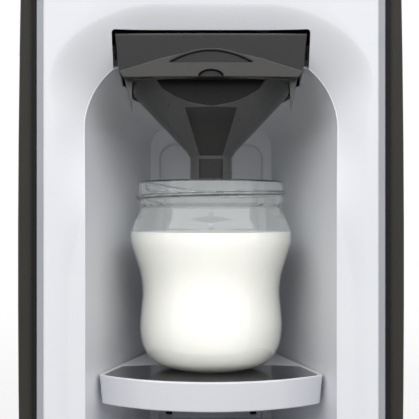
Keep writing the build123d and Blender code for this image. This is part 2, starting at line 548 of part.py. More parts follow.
def make_tank():
    corner, wall = 14.0, 2.2
    whole = block((-TANK_HALF, TANK_HALF), TANK_Y, (DOCK_TOP, TANK_TOP))
    whole = fillet(whole.edges().filter_by(Axis.Z), corner)
    room = block((-TANK_HALF + wall, TANK_HALF - wall), (TANK_Y[0] + wall, TANK_Y[1] - wall),
                 (DOCK_TOP + 3, TANK_TOP + 1))
    tank = whole - fillet(room.edges().filter_by(Axis.Z), corner - wall)
    at = (0, VALVE_Y)
    tank += disc(9, (36.5, DOCK_TOP + 1), at)
    tank -= disc(4, (30, 60), at) + disc(6.2, (30, 45.0), at)
    tank -= disc(9.5, (40, 42), at) - disc(8, (39, 43), at)
    for turn in range(4):
        leg = block((9, 11.5), (-2, 2), (DOCK_TOP + 3, 66)) + block((0, 11.5), (-2, 2), (63.5, 66))
        tank += Pos(0, VALVE_Y, 0) * Rot(0, 0, 90 * turn) * leg
    seal = turned([(8.0, 40.2), (9.6, 40.2), (10.2, 41.0), (9.6, 41.8), (8.0, 41.8)], at)
    poppet = disc(3.0, (35.6, 47.1), at) + disc(7.0, (47.1, 49.6), at)
    spring = sweep(Pos(5.0, VALVE_Y, 50.1) * Rot(90, 0, 0) * Circle(0.45),
                   path=Pos(0, VALVE_Y, 50.1) * Helix(3.1, 12.7, 5.0))

    pin_y, pin_z = TANK_Y[0] + 4.0, TANK_TOP + 3.6
    tank += whole & block((-TANK_HALF, TANK_HALF), (TANK_Y[0], TANK_Y[0] + 11),
                          (TANK_TOP - 3, TANK_TOP))
    for shape in both_sides(block((30.4, 38), (pin_y - KNUCKLE_R, pin_y + KNUCKLE_R),
                                  (TANK_TOP, pin_z))
                            + rod_x(KNUCKLE_R, (30.4, 38), pin_y, pin_z)):
        tank += shape
    tank -= rod_x(PIN_R, (-50, 50), pin_y, pin_z)
    lid = block((-TANK_HALF, TANK_HALF), TANK_Y, (TANK_TOP, TANK_TOP + 5))
    lid = fillet(lid.edges().filter_by(Axis.Z), corner)
    lid = fillet(lid.edges().group_by(Axis.Z)[-1], 2)
    lid -= block((-80, 80), (TANK_Y[0] - 1, pin_y + 4), (TANK_TOP - 1, TANK_TOP + 8))
    for shape in both_sides(block((20, 30), (pin_y, pin_y + 8), (pin_z - KNUCKLE_R, pin_z + 1))
                            + rod_x(KNUCKLE_R, (20, 30), pin_y, pin_z)):
        lid += shape
    lid -= rod_x(PIN_R + RUN_FIT, (-50, 50), pin_y, pin_z)
    pins = rod_x(PIN_R, (-38, 38), pin_y, pin_z)
    return {"water_tank": tank, "tank_seal": seal, "valve_poppet": poppet, "valve_spring": spring,
            "tank_lid": lid, "tank_lid_pin": pins}


def main():
    os.makedirs("parts", exist_ok=True)
    nodes = {"side_panel_left": make_side(-1), "side_panel_right": make_side(1)}
    for maker in (make_base, make_front_shell, make_trims, make_bay, make_upper_housing,
                  make_controls, make_funnel, make_stand, make_bottle, make_dosing, make_hopper,
                  make_drive, make_water, make_electrics, make_dock, make_tank):
        nodes.update(maker())
    for name, shape in nodes.items():
        export_step(shape, f"parts/{name}.step")


main()
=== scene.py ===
"""Countertop baby formula maker: the finished look of every piece, round the fixed frame of its solids.

Sizes in the fields are millimetres in the frame of the solids: +X right, +Y back, +Z up, with the
origin under the middle of the footprint. Meshes are written in metres.
"""

import json
import logging
from dataclasses import dataclass
from enum import Enum

import bmesh
import bpy
import numpy as np
from mathutils import Matrix, Vector


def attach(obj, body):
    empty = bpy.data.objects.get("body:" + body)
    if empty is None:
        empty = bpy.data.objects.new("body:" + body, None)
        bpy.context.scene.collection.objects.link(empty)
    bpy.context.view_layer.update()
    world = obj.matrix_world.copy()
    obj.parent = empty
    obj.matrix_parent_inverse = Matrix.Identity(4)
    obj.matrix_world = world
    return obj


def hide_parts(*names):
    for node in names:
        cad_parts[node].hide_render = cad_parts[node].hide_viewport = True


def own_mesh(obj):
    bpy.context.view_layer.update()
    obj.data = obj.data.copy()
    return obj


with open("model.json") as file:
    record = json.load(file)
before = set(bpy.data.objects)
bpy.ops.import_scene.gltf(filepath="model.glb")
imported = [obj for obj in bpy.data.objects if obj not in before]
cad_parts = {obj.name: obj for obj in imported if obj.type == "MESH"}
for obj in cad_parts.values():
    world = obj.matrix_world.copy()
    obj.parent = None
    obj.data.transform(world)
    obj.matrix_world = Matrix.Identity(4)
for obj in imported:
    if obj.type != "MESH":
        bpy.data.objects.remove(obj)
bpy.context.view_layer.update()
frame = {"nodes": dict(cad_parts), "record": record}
LOG = logging.getLogger("formula_maker")

MM = 0.001
FRONT = -142.5              # face of the bezel
WELD = 0.002 * MM           # points closer than this are one
FLAT_DEG = 0.3              # faces that meet at less are one flat face
CREASE_DEG = 35.0           # edges sharper than this stay sharp
EDGE_DEG = 32.0             # edges sharper than this are rounded
SKIN_CREASE_DEG = 40.0      # the same, on the funnel's panel and facets
BODY_OF = {node: body for body, nodes in frame["record"]["behaviour"]["bodies"].items() for node in nodes}
Pairs = tuple[tuple[float, float], ...]     # rows of two measures


# ------------------------------------------------------------------ colour and shader nodes
def hex_to_linear(code: str) -> tuple[float, float, float, float]:
    """Turns an sRGB hex colour into linear light with full alpha.

    Args:
        code: colour as "#rrggbb".

    Returns:
        Red, green, blue and alpha, linear.
    """
    channels = np.array([int(code[i:i + 2], 16) for i in (1, 3, 5)]) / 255.0
    linear = np.where(channels <= 0.04045, channels / 12.92, ((channels + 0.055) / 1.055) ** 2.4)
    return (*linear.tolist(), 1.0)


def add_node(tree: bpy.types.NodeTree, kind: str, settings: dict | None = None,
             inputs: dict | None = None) -> bpy.types.Node:
    """Adds one node with its settings, constants and links.

    Args:
        tree: node tree that gets the node.
        kind: Blender's name for the node type.
        settings: properties of the node.
        inputs: socket name or number, and a constant or the output socket that feeds it.

    Returns:
        The new node.
    """
    node = tree.nodes.new(kind)
    for name, value in (settings or {}).items():
        setattr(node, name, value)
    for key, value in (inputs or {}).items():
        if isinstance(value, bpy.types.NodeSocket):
            tree.links.new(value, node.inputs[key])
        else:
            node.inputs[key].default_value = value
    return node


@dataclass(frozen=True)
class Blotches:
    """Cloudy pattern over a piece, set by the distance from one blotch to the next.

    One setting serves all that a mould or a tool leaves: slow drift of colour, grain and drawn lines.
    """

    size_mm: float
    detail: float = 2.0
    stretch: tuple[float, float, float] = (1.0, 1.0, 1.0)

    def value(self, tree: bpy.types.NodeTree) -> bpy.types.NodeSocket:
        """The pattern itself, about 0.3 to 0.7, in the piece's own coordinates.

        Args:
            tree: node tree of the material.

        Returns:
            Output with the pattern.
        """
        where = add_node(tree, "ShaderNodeTexCoord").outputs["Object"]
        along = add_node(tree, "ShaderNodeMapping", inputs={"Vector": where, "Scale": self.stretch})
        inputs = {"Vector": along.outputs[0], "Scale": 1.0 / (self.size_mm * MM), "Detail": self.detail}
        return add_node(tree, "ShaderNodeTexNoise", inputs=inputs).outputs["Fac"]

    def between(self, tree: bpy.types.NodeTree, low: float, high: float) -> bpy.types.NodeSocket:
        """The pattern stretched to run from low to high."""
        inputs = {"Value": self.value(tree), 1: 0.3, 2: 0.7, 3: low, 4: high}
        return add_node(tree, "ShaderNodeMapRange", inputs=inputs).outputs[0]

    def colour(self, tree: bpy.types.NodeTree, first: str, second: str) -> bpy.types.NodeSocket:
        """Two sRGB hex colours mixed by the pattern."""
        inputs = {0: self.between(tree, 0.0, 1.0), 6: hex_to_linear(first), 7: hex_to_linear(second)}
        return add_node(tree, "ShaderNodeMix", {"data_type": "RGBA"}, inputs).outputs[2]

    def relief(self, tree: bpy.types.NodeTree, depth_mm: float) -> bpy.types.NodeSocket:
        """Surface normal of a relief of that depth."""
        inputs = {"Distance": depth_mm * MM, "Height": self.value(tree)}
        return add_node(tree, "ShaderNodeBump", inputs=inputs).outputs[0]


# ------------------------------------------------------------------ finishes
@dataclass(frozen=True)
class Finish:
    """A real material with its surface. Its name is the material's name in the file."""

    name: str

    def material(self) -> bpy.types.Material:
        """Gives the Blender material, made on first use.

        Returns:
            The material.
        """
        known = bpy.data.materials.get(self.name)
        if known:
            return known
        made = bpy.data.materials.new(self.name)
        made.use_nodes = True
        made.node_tree.nodes.clear()
        surface = self.surface(made.node_tree)
        add_node(made.node_tree, "ShaderNodeOutputMaterial", inputs={"Surface": surface})
        return made

    def surface(self, tree: bpy.types.NodeTree) -> bpy.types.NodeSocket:
        """Builds the shader; each finish has its own."""
        raise NotImplementedError


@dataclass(frozen=True)
class MouldedPlastic(Finish):
    """Injection-moulded ABS: an even colour with the fine skin of the mould and a soft gloss.

    The tone drifts a little over centimetres, as wall thickness changes, and the grain of the mould
    breaks up the highlight. The grain is drawn at least 0.5 mm coarse, so that it shows.
    """

    colour: str = "#808080"
    drift_colour: str = "#7c7c7c"
    roughness: float = 0.35
    grain_mm: float = 0.6
    grain_depth: float = 0.012
    drift_mm: float = 40.0
    coat: float = 0.0
    sheen_through: float = 0.0      # light scattered inside the plastic
    specular: float = 0.5

    def surface(self, tree: bpy.types.NodeTree) -> bpy.types.NodeSocket:
        """Colour from slow drift, roughness and bump from the grain.

        Args:
            tree: node tree of the material.

        Returns:
            Output of the shader.
        """
        grain = Blotches(self.grain_mm, 3.0)
        return add_node(tree, "ShaderNodeBsdfPrincipled", inputs={
            "Base Color": Blotches(self.drift_mm).colour(tree, self.colour, self.drift_colour),
            "Roughness": grain.between(tree, self.roughness * 0.9, self.roughness * 1.12),
            "Normal": grain.relief(tree, self.grain_depth), "IOR": 1.5,
            "Specular IOR Level": self.specular,
            "Coat Weight": self.coat, "Coat Roughness": 0.12,
            "Subsurface Weight": self.sheen_through, "Subsurface Scale": 1.5 * MM,
        }).outputs[0]


@dataclass(frozen=True)
class ClearPlastic(Finish):
    """Blown or moulded clear wall: glass-like, faintly wavy, with a little haze in the plastic."""

    tint: str = "#fbfdfe"
    roughness: float = 0.02
    wave_mm: float = 18.0
    wave_depth: float = 0.05
    shade_passed: str = "#e6eaec"   # what lamps lose on their way through
    clearness: float = 1.0          # the rest scatters light as haze

    def surface(self, tree: bpy.types.NodeTree) -> bpy.types.NodeSocket:
        """Refraction with slight waviness; lamps shine straight through.

        Args:
            tree: node tree of the material.

        Returns:
            Output of the shader.
        """
        body = add_node(tree, "ShaderNodeBsdfPrincipled", inputs={
            "Base Color": hex_to_linear(self.tint), "Roughness": self.roughness, "IOR": 1.5,
            "Transmission Weight": self.clearness,
            "Normal": Blotches(self.wave_mm, 1.0).relief(tree, self.wave_depth)})
        passed = add_node(tree, "ShaderNodeBsdfTransparent",
                          inputs={"Color": hex_to_linear(self.shade_passed)})
        path = add_node(tree, "ShaderNodeLightPath")
        return add_node(tree, "ShaderNodeMixShader", inputs={
            0: path.outputs["Is Shadow Ray"], 1: body.outputs[0], 2: passed.outputs[0]}).outputs[0]


@dataclass(frozen=True)
class Milk(Finish):
    """Mixed formula: warm white, with light scattered below its surface and a faint cloudiness."""

    colour: str = "#f6f4ee"
    cloud_colour: str = "#f3f1ea"

    def surface(self, tree: bpy.types.NodeTree) -> bpy.types.NodeSocket:
        """Scattering body under a smooth wet surface.

        Args:
            tree: node tree of the material.

        Returns:
            Output of the shader.
        """
        return add_node(tree, "ShaderNodeBsdfPrincipled", inputs={
            "Base Color": Blotches(30.0).colour(tree, self.colour, self.cloud_colour),
            "Roughness": 0.25, "IOR": 1.35, "Subsurface Weight": 0.12,
            "Subsurface Radius": (1.0, 0.8, 0.6), "Subsurface Scale": 3.0 * MM}).outputs[0]


@dataclass(frozen=True)
class Metal(Finish):
    """Turned or rolled metal: fine lines from the tool, drawn 0.4 mm apart so that they show."""

    colour: str = "#b9bbbe"
    roughness: float = 0.28
    line_mm: float = 0.4
    stretch: tuple[float, float, float] = (1.0, 1.0, 0.04)

    def surface(self, tree: bpy.types.NodeTree) -> bpy.types.NodeSocket:
        """Metallic shader whose roughness and bump follow the stretched lines.

        Args:
            tree: node tree of the material.

        Returns:
            Output of the shader.
        """
        lines = Blotches(self.line_mm, 2.0, self.stretch)
        return add_node(tree, "ShaderNodeBsdfPrincipled", inputs={
            "Base Color": hex_to_linear(self.colour), "Metallic": 1.0,
            "Roughness": lines.between(tree, self.roughness * 0.75, self.roughness * 1.3),
            "Normal": lines.relief(tree, 0.01)}).outputs[0]


@dataclass(frozen=True)
class Rubber(Finish):
    """Moulded elastomer: dull, with a fine dusty bloom that lightens it in patches."""

    colour: str = "#1e1e20"
    bloom: str = "#29292b"

    def surface(self, tree: bpy.types.NodeTree) -> bpy.types.NodeSocket:
        """Rough shader with patchy bloom.

        Args:
            tree: node tree of the material.

        Returns:
            Output of the shader.
        """
        return add_node(tree, "ShaderNodeBsdfPrincipled", inputs={
            "Base Color": Blotches(4.0, 4.0).colour(tree, self.colour, self.bloom),
            "Roughness": 0.75, "Normal": Blotches(0.5).relief(tree, 0.02)}).outputs[0]


@dataclass(frozen=True)
class CircuitBoard(Finish):
    """Glass-epoxy board under solder mask: copper tracks show as a lighter green network."""

    mask: str = "#17482f"
    track: str = "#2d7a4e"
    track_mm: float = 3.0

    def surface(self, tree: bpy.types.NodeTree) -> bpy.types.NodeSocket:
        """Tracks are the borders of square cells.

        Args:
            tree: node tree of the material.

        Returns:
            Output of the shader.
        """
        where = add_node(tree, "ShaderNodeTexCoord").outputs["Object"]
        cells = add_node(tree, "ShaderNodeTexVoronoi",
                         {"feature": "F1", "distance": "CHEBYCHEV"},
                         {"Vector": where, "Scale": 1.0 / (self.track_mm * MM)})
        line = add_node(tree, "ShaderNodeMapRange",
                        inputs={"Value": cells.outputs["Distance"], 1: 0.5, 2: 0.56})
        shade = add_node(tree, "ShaderNodeMix", {"data_type": "RGBA"},
                         {0: line.outputs[0], 6: hex_to_linear(self.mask), 7: hex_to_linear(self.track)})
        return add_node(tree, "ShaderNodeBsdfPrincipled", inputs={
            "Base Color": shade.outputs[2],
            "Roughness": 0.32, "Coat Weight": 0.4, "Coat Roughness": 0.1}).outputs[0]


@dataclass(frozen=True)
class Glow(Finish):
    """Lit segment of a display behind its window."""

    colour: str = "#cfe6ff"
    strength: float = 1.4

    def surface(self, tree: bpy.types.NodeTree) -> bpy.types.NodeSocket:
        """Plain light with a little surface of its own.

        Args:
            tree: node tree of the material.

        Returns:
            Output of the shader.
        """
        return add_node(tree, "ShaderNodeBsdfPrincipled", inputs={
            "Base Color": hex_to_linear(self.colour), "Roughness": 0.5,
            "Emission Color": hex_to_linear(self.colour),
            "Emission Strength": self.strength}).outputs[0]


# Mouldings. The numbers are roughness, grain and its depth in mm, length of the drift in mm, coat and
# light scattered inside. Polished moulds give the white covers a soft gloss, and the etched mould of the
# bezel a satin.
WHITE_ABS = MouldedPlastic("white_gloss_abs", "#e9eaee", "#e6e7ec", 0.3, 1.2, 0.001, 60.0, 0.25)
BEZEL_ABS = MouldedPlastic("white_satin_abs", "#e9eaee", "#e6e7ec", 0.55, 1.2, 0.001, 60.0)
STAND_ABS = MouldedPlastic("stand_white_abs", "#e3e4e9", "#dfe0e6", 0.35, 1.2, 0.0004, 50.0, 0.2)
# Deep grain breaks every highlight on the side covers, so they look dull and dark.
CHARCOAL_ABS = MouldedPlastic("charcoal_grained_abs", "#2f2e29", "#2b2a26", 0.55, 0.7, 0.05, 60.0,
                              specular=0.25)
# The strips beside the bezel: one polished and near black, one satin grey.
BLACK_STRIP = MouldedPlastic("polished_black_strip", "#111112", "#0e0e0f", 0.3, 1.5, 0.004, 40.0,
                             specular=0.2)
GREY_STRIP = MouldedPlastic("satin_grey_strip", "#a4a6ab", "#9fa1a7", 0.34, 0.8, 0.01, 40.0)
# The lining of the bay is pale and even, so that light runs down it without an edge.
BAY_ABS = MouldedPlastic("bay_grey_abs", "#e8e9ed", "#e4e6ea", 0.42, 0.8, 0.006, 45.0)
GUIDE_ABS = MouldedPlastic("guide_grey_abs", "#dadce1", "#d6d8de", 0.36, 0.8, 0.006, 45.0)
# Dark smoke plastic of the funnel, polished to different degrees and split into lit and shaded copies: the
# panel mirrors the lamps; the ledge and the cone are lighter copies with painted sheen; the facets are a
# darker copy with a painted dark reflection, and the recess is one with painted shadow under the panel.
# Both of these are almost black.
SMOKE_PLASTIC = MouldedPlastic("smoke_polished_plastic", "#1c1c1c", "#191919", 0.24, 1.5, 0.0008, 30.0)
LEDGE_SHEEN_PLASTIC = MouldedPlastic("smoke_ledge_painted_sheen", "#252422", "#22211f", 0.38, 1.5, 0.0008, 30.0,
                               specular=0.35)
CONE_SHEEN_PLASTIC = MouldedPlastic("smoke_cone_painted_sheen", "#4e4e4c", "#484846", 0.3, 1.5, 0.0008, 30.0)
FACET_SHADE_PLASTIC = MouldedPlastic("smoke_facet_painted_dark_reflection", "#242423", "#202020", 0.22, 1.5, 0.0008, 30.0,
                               specular=0.3)
RECESS_SHADOW_PLASTIC = MouldedPlastic("smoke_recess_painted_shadow", "#161616", "#131313", 0.3, 1.5, 0.0008, 30.0,
                                specular=0.22)
# The inlay under the bottle is glossy acrylic and shows a mirror image; lids and keys are satin.
INLAY_PLASTIC = MouldedPlastic("inlay_gloss_acrylic", "#2a2b2e", "#27282b", 0.14, 2.0, 0.003, 30.0, 0.6)
LID_PLASTIC = MouldedPlastic("dark_satin_lid", "#29292b", "#262628", 0.3, 1.0, 0.01, 40.0, 0.2)
KEY_PLASTIC = MouldedPlastic("key_satin_plastic", "#d6d7db", "#d2d3d8", 0.35, 0.6, 0.01, 20.0, 0.1)
# Inner parts: plain grey mouldings, cream acetal on what turns, black nylon on what is bought in.
INNER_ABS = MouldedPlastic("inner_grey_abs", "#8b8e94", "#85888e", 0.5, 0.9, 0.03, 30.0)
GEAR_ACETAL = MouldedPlastic("acetal_gear_plastic", "#e8e5da", "#e2dfd3", 0.4, 0.7, 0.015, 15.0)
BLACK_NYLON = MouldedPlastic("black_nylon", "#1b1b1d", "#202022", 0.45, 0.6, 0.02, 15.0)
# Silicone lets light in and looks milky; cable sheath is smooth; pad print is flat grey.
SILICONE = MouldedPlastic("milky_silicone", "#d5d3cd", "#cfcdc6", 0.38, 0.8, 0.01, 12.0, 0.0, 0.4)
CABLE_PVC = MouldedPlastic("red_black_pvc", "#232325", "#1d1d1f", 0.42, 0.8, 0.01, 12.0)
PRINT_INK = MouldedPlastic("grey_pad_print", "#5a5d63", "#565960", 0.5, 0.5, 0.004, 10.0)
# Clear walls. After the tint come roughness, length and depth of the waves in mm, what lamps lose on
# their way through, and the share that isn't haze. Blown polypropylene is faintly wavy and hazy; a
# dark-tinted copy of it on the lip and the thread's flanks gives painted dark lines where the wall is seen
# edge-on.
# Copolyester is clear on the tank and smoke-tinted over the powder, and the window of the display is tinted
# acrylic.
BOTTLE_CLEAR = ClearPlastic("clear_polypropylene", "#f8fafa", 0.01, 20.0, 0.04, "#f4f6f7", 0.92)
BOTTLE_DARK_EDGE = ClearPlastic("clear_polypropylene_painted_dark_edge", "#585b5c", 0.01, 20.0, 0.04, "#f4f6f7")
TANK_CLEAR = ClearPlastic("clear_tank_copolyester", "#eef4f7", 0.03, 30.0, 0.08, "#dfe5e8")
SMOKE_CLEAR = ClearPlastic("smoke_tinted_copolyester", "#8a8f94", 0.03, 30.0, 0.06, "#8d9196")
WINDOW_CLEAR = ClearPlastic("tinted_acrylic_window", "#565b61", 0.03, 40.0, 0.01, "#6a6f75")
# Turned steel shows fine lines round its axis, cast aluminium a coarser and duller skin.
STEEL = Metal("turned_steel", "#b4b6b9", 0.28)
ALUMINIUM = Metal("cast_aluminium", "#c3c5c8", 0.38, 0.8, (1.0, 1.0, 0.3))
FOOT_RUBBER = Rubber("foot_rubber")
BOARD_GREEN = CircuitBoard("solder_mask_board")
LED_GLOW = Glow("display_segment_light")

# finish: the nodes that have it
NODES_OF = {
    CHARCOAL_ABS: "side_panel_left side_panel_right base_plate tank_dock",
    WHITE_ABS: "top_cover front_shell", STAND_ABS: "stand", INLAY_PLASTIC: "stand_insert",
    BLACK_STRIP: "side_trims control_fascia", GREY_STRIP: "bezel_trims",
    BAY_ABS: "bay_liner", GUIDE_ABS: "guide_panel",
    # The funnel's cone wears the lighter copy of the smoke plastic, with painted sheen.
    CONE_SHEEN_PLASTIC: "funnel", SMOKE_PLASTIC: "funnel_cover", BOTTLE_CLEAR: "bottle",
    SMOKE_CLEAR: "hopper", TANK_CLEAR: "water_tank", LID_PLASTIC: "hopper_lid tank_lid",
    WINDOW_CLEAR: "display_window", BOARD_GREEN: "control_board power_board",
    KEY_PLASTIC: "button_power button_temperature button_less button_more button_formula button_start",
    BLACK_NYLON: "display_module tact_switches water_pump power_inlet",
    INNER_ABS: "mixing_deck rear_bulkhead dosing_tray funnel_rails stand_carriage dock_socket water_nozzle",
    GEAR_ACETAL: "dosing_wheel drive_dog motor_pinion stirrer valve_poppet",
    STEEL: "heater_bracket base_screws dosing_axle lid_pin tank_lid_pin valve_spring gear_motor",
    ALUMINIUM: "water_heater", FOOT_RUBBER: "rubber_feet", CABLE_PVC: "wiring_loom",
    SILICONE: "hot_water_tube lift_tube inlet_tube hopper_seal tank_seal",
}
NODE_FINISH = {node: finish for finish, nodes in NODES_OF.items() for node in nodes.split()}

# node: rounding of its edges in millimetres, name of the piece, steps of the rounding
SOFTENED = {
    "funnel": (0.3, "funnel_body", 2), "stand": (1.3, "stand_body", 4),
    "stand_insert": (0.3, "stand_inlay", 2), "guide_panel": (0.5, "guide_plate", 2),
    "tank_lid": (0.8, "tank_cap", 2), "hopper_lid": (0.8, "hopper_cap", 2),
    "tank_dock": (0.8, "dock_body", 2), "base_plate": (0.8, "base_tray", 2),
    "side_panel_left": (0.6, "side_cover_left", 2), "side_panel_right": (0.6, "side_cover_right", 2),
    "control_fascia": (0.4, "fascia_plate", 2),
}


# ------------------------------------------------------------------ mesh building
def grid_faces(rows: int, columns: int, closed: bool) -> np.ndarray:
    """Quads over a grid of points stored row by row.

    Args:
        rows: points along the first parameter.
        columns: points along the second parameter.
        closed: whether the last column joins the first.

    Returns:
        Array of four point numbers per face.
    """
    row, column = np.meshgrid(np.arange(rows - 1), np.arange(columns - (not closed)), indexing="ij")
    beside = (column + 1) % columns
    corners = [row * columns + column, row * columns + beside,
               (row + 1) * columns + beside, (row + 1) * columns + column]
    return np.stack(corners, axis=-1).reshape(-1, 4)


def add_piece(name: str, mesh: bpy.types.Mesh, finish: Finish, body: str,
              replaced: tuple[str, ...] = ()) -> bpy.types.Object:
    """Puts a finished mesh into the scene and ties it to the frame.

    Args:
        name: name of the piece.
        mesh: its mesh, in metres, in place.
        finish: its material.
        body: body that it rides on.
        replaced: nodes that it stands for.

    Returns:
        The new object.
    """
    piece = bpy.data.objects.new(name, mesh)
    bpy.context.scene.collection.objects.link(piece)
    mesh.materials.clear()
    mesh.materials.append(finish.material())
    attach(piece, body)
    if replaced:
        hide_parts(*replaced)
    LOG.info("piece %s: %d faces on %s", name, len(mesh.polygons), body)
    return piece


def surface_mesh(name: str, points: np.ndarray, closed: bool,
                 crease_deg: float = CREASE_DEG) -> bpy.types.Mesh:
    """Makes a smooth mesh from a grid of points in millimetres and welds its seams and poles.

    Args:
        name: name of the mesh.
        points: array of rows x columns x 3.
        closed: whether the last column joins the first.
        crease_deg: edges sharper than this stay sharp.

    Returns:
        The mesh, in metres.
    """
    rows, columns = points.shape[:2]
    mesh = bpy.data.meshes.new(name)
    mesh.from_pydata((points.reshape(-1, 3) * MM).tolist(), [], grid_faces(rows, columns, closed).tolist())
    return welded(mesh, crease_deg)


def welded(mesh: bpy.types.Mesh, crease_deg: float = CREASE_DEG) -> bpy.types.Mesh:
    """Joins points that coincide, turns the faces outward and smooths all but the creases.

    Args:
        mesh: mesh to finish, changed in place.
        crease_deg: edges sharper than this stay sharp.

    Returns:
        The same mesh.
    """
    work = bmesh.new()
    work.from_mesh(mesh)
    bmesh.ops.remove_doubles(work, verts=work.verts, dist=WELD)
    bmesh.ops.recalc_face_normals(work, faces=work.faces)
    work.to_mesh(mesh)
    work.free()
    mesh.shade_smooth()
    mesh.set_sharp_from_angle(angle=np.radians(crease_deg))
    return mesh


def turned_grid(profile: np.ndarray, centre: tuple[float, float], count: int = 128) -> np.ndarray:
    """Surface of revolution: each (radius, height) of the profile goes once round the centre.

    Args:
        profile: array of radius and height.
        centre: axis of the turned shape.
        count: points round the axis.

    Returns:
        Grid of points, one row per profile point.
    """
    angle = np.linspace(0.0, 2.0 * np.pi, count, endpoint=False)
    radius, height = profile[:, :1], profile[:, 1:]
    return np.stack([centre[0] + radius * np.cos(angle), centre[1] + radius * np.sin(angle),
                     height + 0.0 * angle], axis=-1)


def smooth_curve(points: np.ndarray, per_span: int = 8) -> np.ndarray:
    """Catmull-Rom curve through the points: each span is a cubic whose slopes follow its neighbours.

    Args:
        points: array of points.
        per_span: points worked out on each span.

    Returns:
        Points along the curve, ends included.
    """
    padded = np.vstack([2 * points[0] - points[1], points, 2 * points[-1] - points[-2]])
    t = np.linspace(0.0, 1.0, per_span, endpoint=False)[None, :, None]
    a, b, c, d = (padded[k:len(padded) - 3 + k][:, None, :] for k in range(4))
    curve = 0.5 * (2 * b + (c - a) * t + (2 * a - 5 * b + 4 * c - d) * t ** 2
                   + (3 * b - a - 3 * c + d) * t ** 3)
    return np.vstack([curve.reshape(-1, points.shape[1]), points[-1:]])


def smooth_step(value: np.ndarray, low: float, high: float) -> np.ndarray:
    """Rises from 0 at low to 1 at high with level ends."""
    t = np.clip((value - low) / (high - low), 0.0, 1.0)
    return t * t * (3.0 - 2.0 * t)


def arc(centre: tuple[float, float], radius: float, start_deg: float, end_deg: float,
        count: int) -> np.ndarray:
    """Points on a circle in the plane, from one angle to another."""
    angle = np.radians(np.linspace(start_deg, end_deg, count))
    return np.stack([centre[0] + radius * np.cos(angle), centre[1] + radius * np.sin(angle)], axis=-1)


def softened(node: str, edge_mm: float, name: str, segments: int = 2) -> bpy.types.Object:
    """Copies a node's solid with its edges rounded as a mould leaves them, and replaces the node.

    Args:
        node: the node.
        edge_mm: width of the rounding.
        name: name of the new piece.
        segments: steps of the rounding.

    Returns:
        The new object.
    """
    source = frame["nodes"][node]
    mesh = source.data.copy()
    work = bmesh.new()
    work.from_mesh(mesh)
    bmesh.ops.remove_doubles(work, verts=work.verts, dist=WELD)
    bmesh.ops.dissolve_limit(work, angle_limit=np.radians(FLAT_DEG), verts=work.verts, edges=work.edges)
    work.to_mesh(mesh)
    work.free()
    if "custom_normal" in mesh.attributes:
        mesh.attributes.remove(mesh.attributes["custom_normal"])
    mesh.shade_smooth()
    mesh.set_sharp_from_angle(angle=np.radians(EDGE_DEG))
    piece = add_piece(name, mesh, NODE_FINISH[node], BODY_OF[node], (node,))
    round_edges(piece, edge_mm, segments, EDGE_DEG).miter_outer = "MITER_ARC"
    return piece


def round_edges(piece: bpy.types.Object, edge_mm: float, segments: int,
                limit_deg: float) -> bpy.types.BevelModifier:
    """Rounds the edges of a piece that are sharper than the limit, as a mould leaves them.

    Args:
        piece: object with the edges.
        edge_mm: width of the rounding.
        segments: steps of the rounding.
        limit_deg: angle from which an edge is rounded.

    Returns:
        The modifier that does it.
    """
    bevel = piece.modifiers.new("moulded_edge", "BEVEL")
    bevel.width = edge_mm * MM
    bevel.segments = segments
    bevel.limit_method = "ANGLE"
    bevel.angle_limit = np.radians(limit_deg)
    bevel.harden_normals = True
    return bevel


def carve(piece: bpy.types.Object, cutters: list[bpy.types.Object]) -> None:
    """Cuts the cutters out of the piece's mesh and removes them.

    Args:
        piece: object to cut, with any modifiers that come before the cut.
        cutters: closed shapes.
    """
    for cutter in cutters:
        cut = piece.modifiers.new("cut", "BOOLEAN")
        cut.operation = "DIFFERENCE"
        cut.solver = "EXACT"
        cut.object = cutter
    bpy.context.view_layer.update()
    graph = bpy.context.evaluated_depsgraph_get()
    done = bpy.data.meshes.new_from_object(piece.evaluated_get(graph))
    piece.modifiers.clear()
    piece.data = done
    for cutter in cutters:
        bpy.data.objects.remove(cutter)


def prism(name: str, outline: np.ndarray, y: tuple[float, float]) -> bpy.types.Mesh:
    """Upright plate: the (x, z) outline carried from one y to another, closed by flat faces.

    Args:
        name: name of the mesh.
        outline: points of the outline.
        y: front and back.

    Returns:
        The mesh, in metres.
    """
    count = len(outline)
    rings = [np.stack([outline[:, 0], np.full(count, depth), outline[:, 1]], axis=-1) for depth in y]
    faces = grid_faces(2, count, True).tolist()
    faces += [list(range(count)), list(range(count, 2 * count))]
    mesh = bpy.data.meshes.new(name)
    mesh.from_pydata((np.vstack(rings) * MM).tolist(), [], faces)
    return welded(mesh)


def rounded_rectangle(x: tuple[float, float], z: tuple[float, float], radius: float,
                      steps: int = 6) -> np.ndarray:
    """Outline of a rectangle with round corners, anticlockwise.

    Args:
        x: left and right.
        z: bottom and top.
        radius: radius of the corners.
        steps: points on each corner.

    Returns:
        Points of the outline.
    """
    corners = [(x[1] - radius, z[1] - radius, 0), (x[0] + radius, z[1] - radius, 90),
               (x[0] + radius, z[0] + radius, 180), (x[1] - radius, z[0] + radius, 270)]
    return np.vstack([arc((cx, cz), radius, start, start + 90, steps) for cx, cz, start in corners])


def cutter_object(mesh: bpy.types.Mesh) -> bpy.types.Object:
    """Wraps a mesh in an object that carve can use.

    Args:
        mesh: closed mesh, in metres.

    Returns:
        The cutter.
    """
    cutter = bpy.data.objects.new(mesh.name, mesh)
    bpy.context.scene.collection.objects.link(cutter)
    return cutter


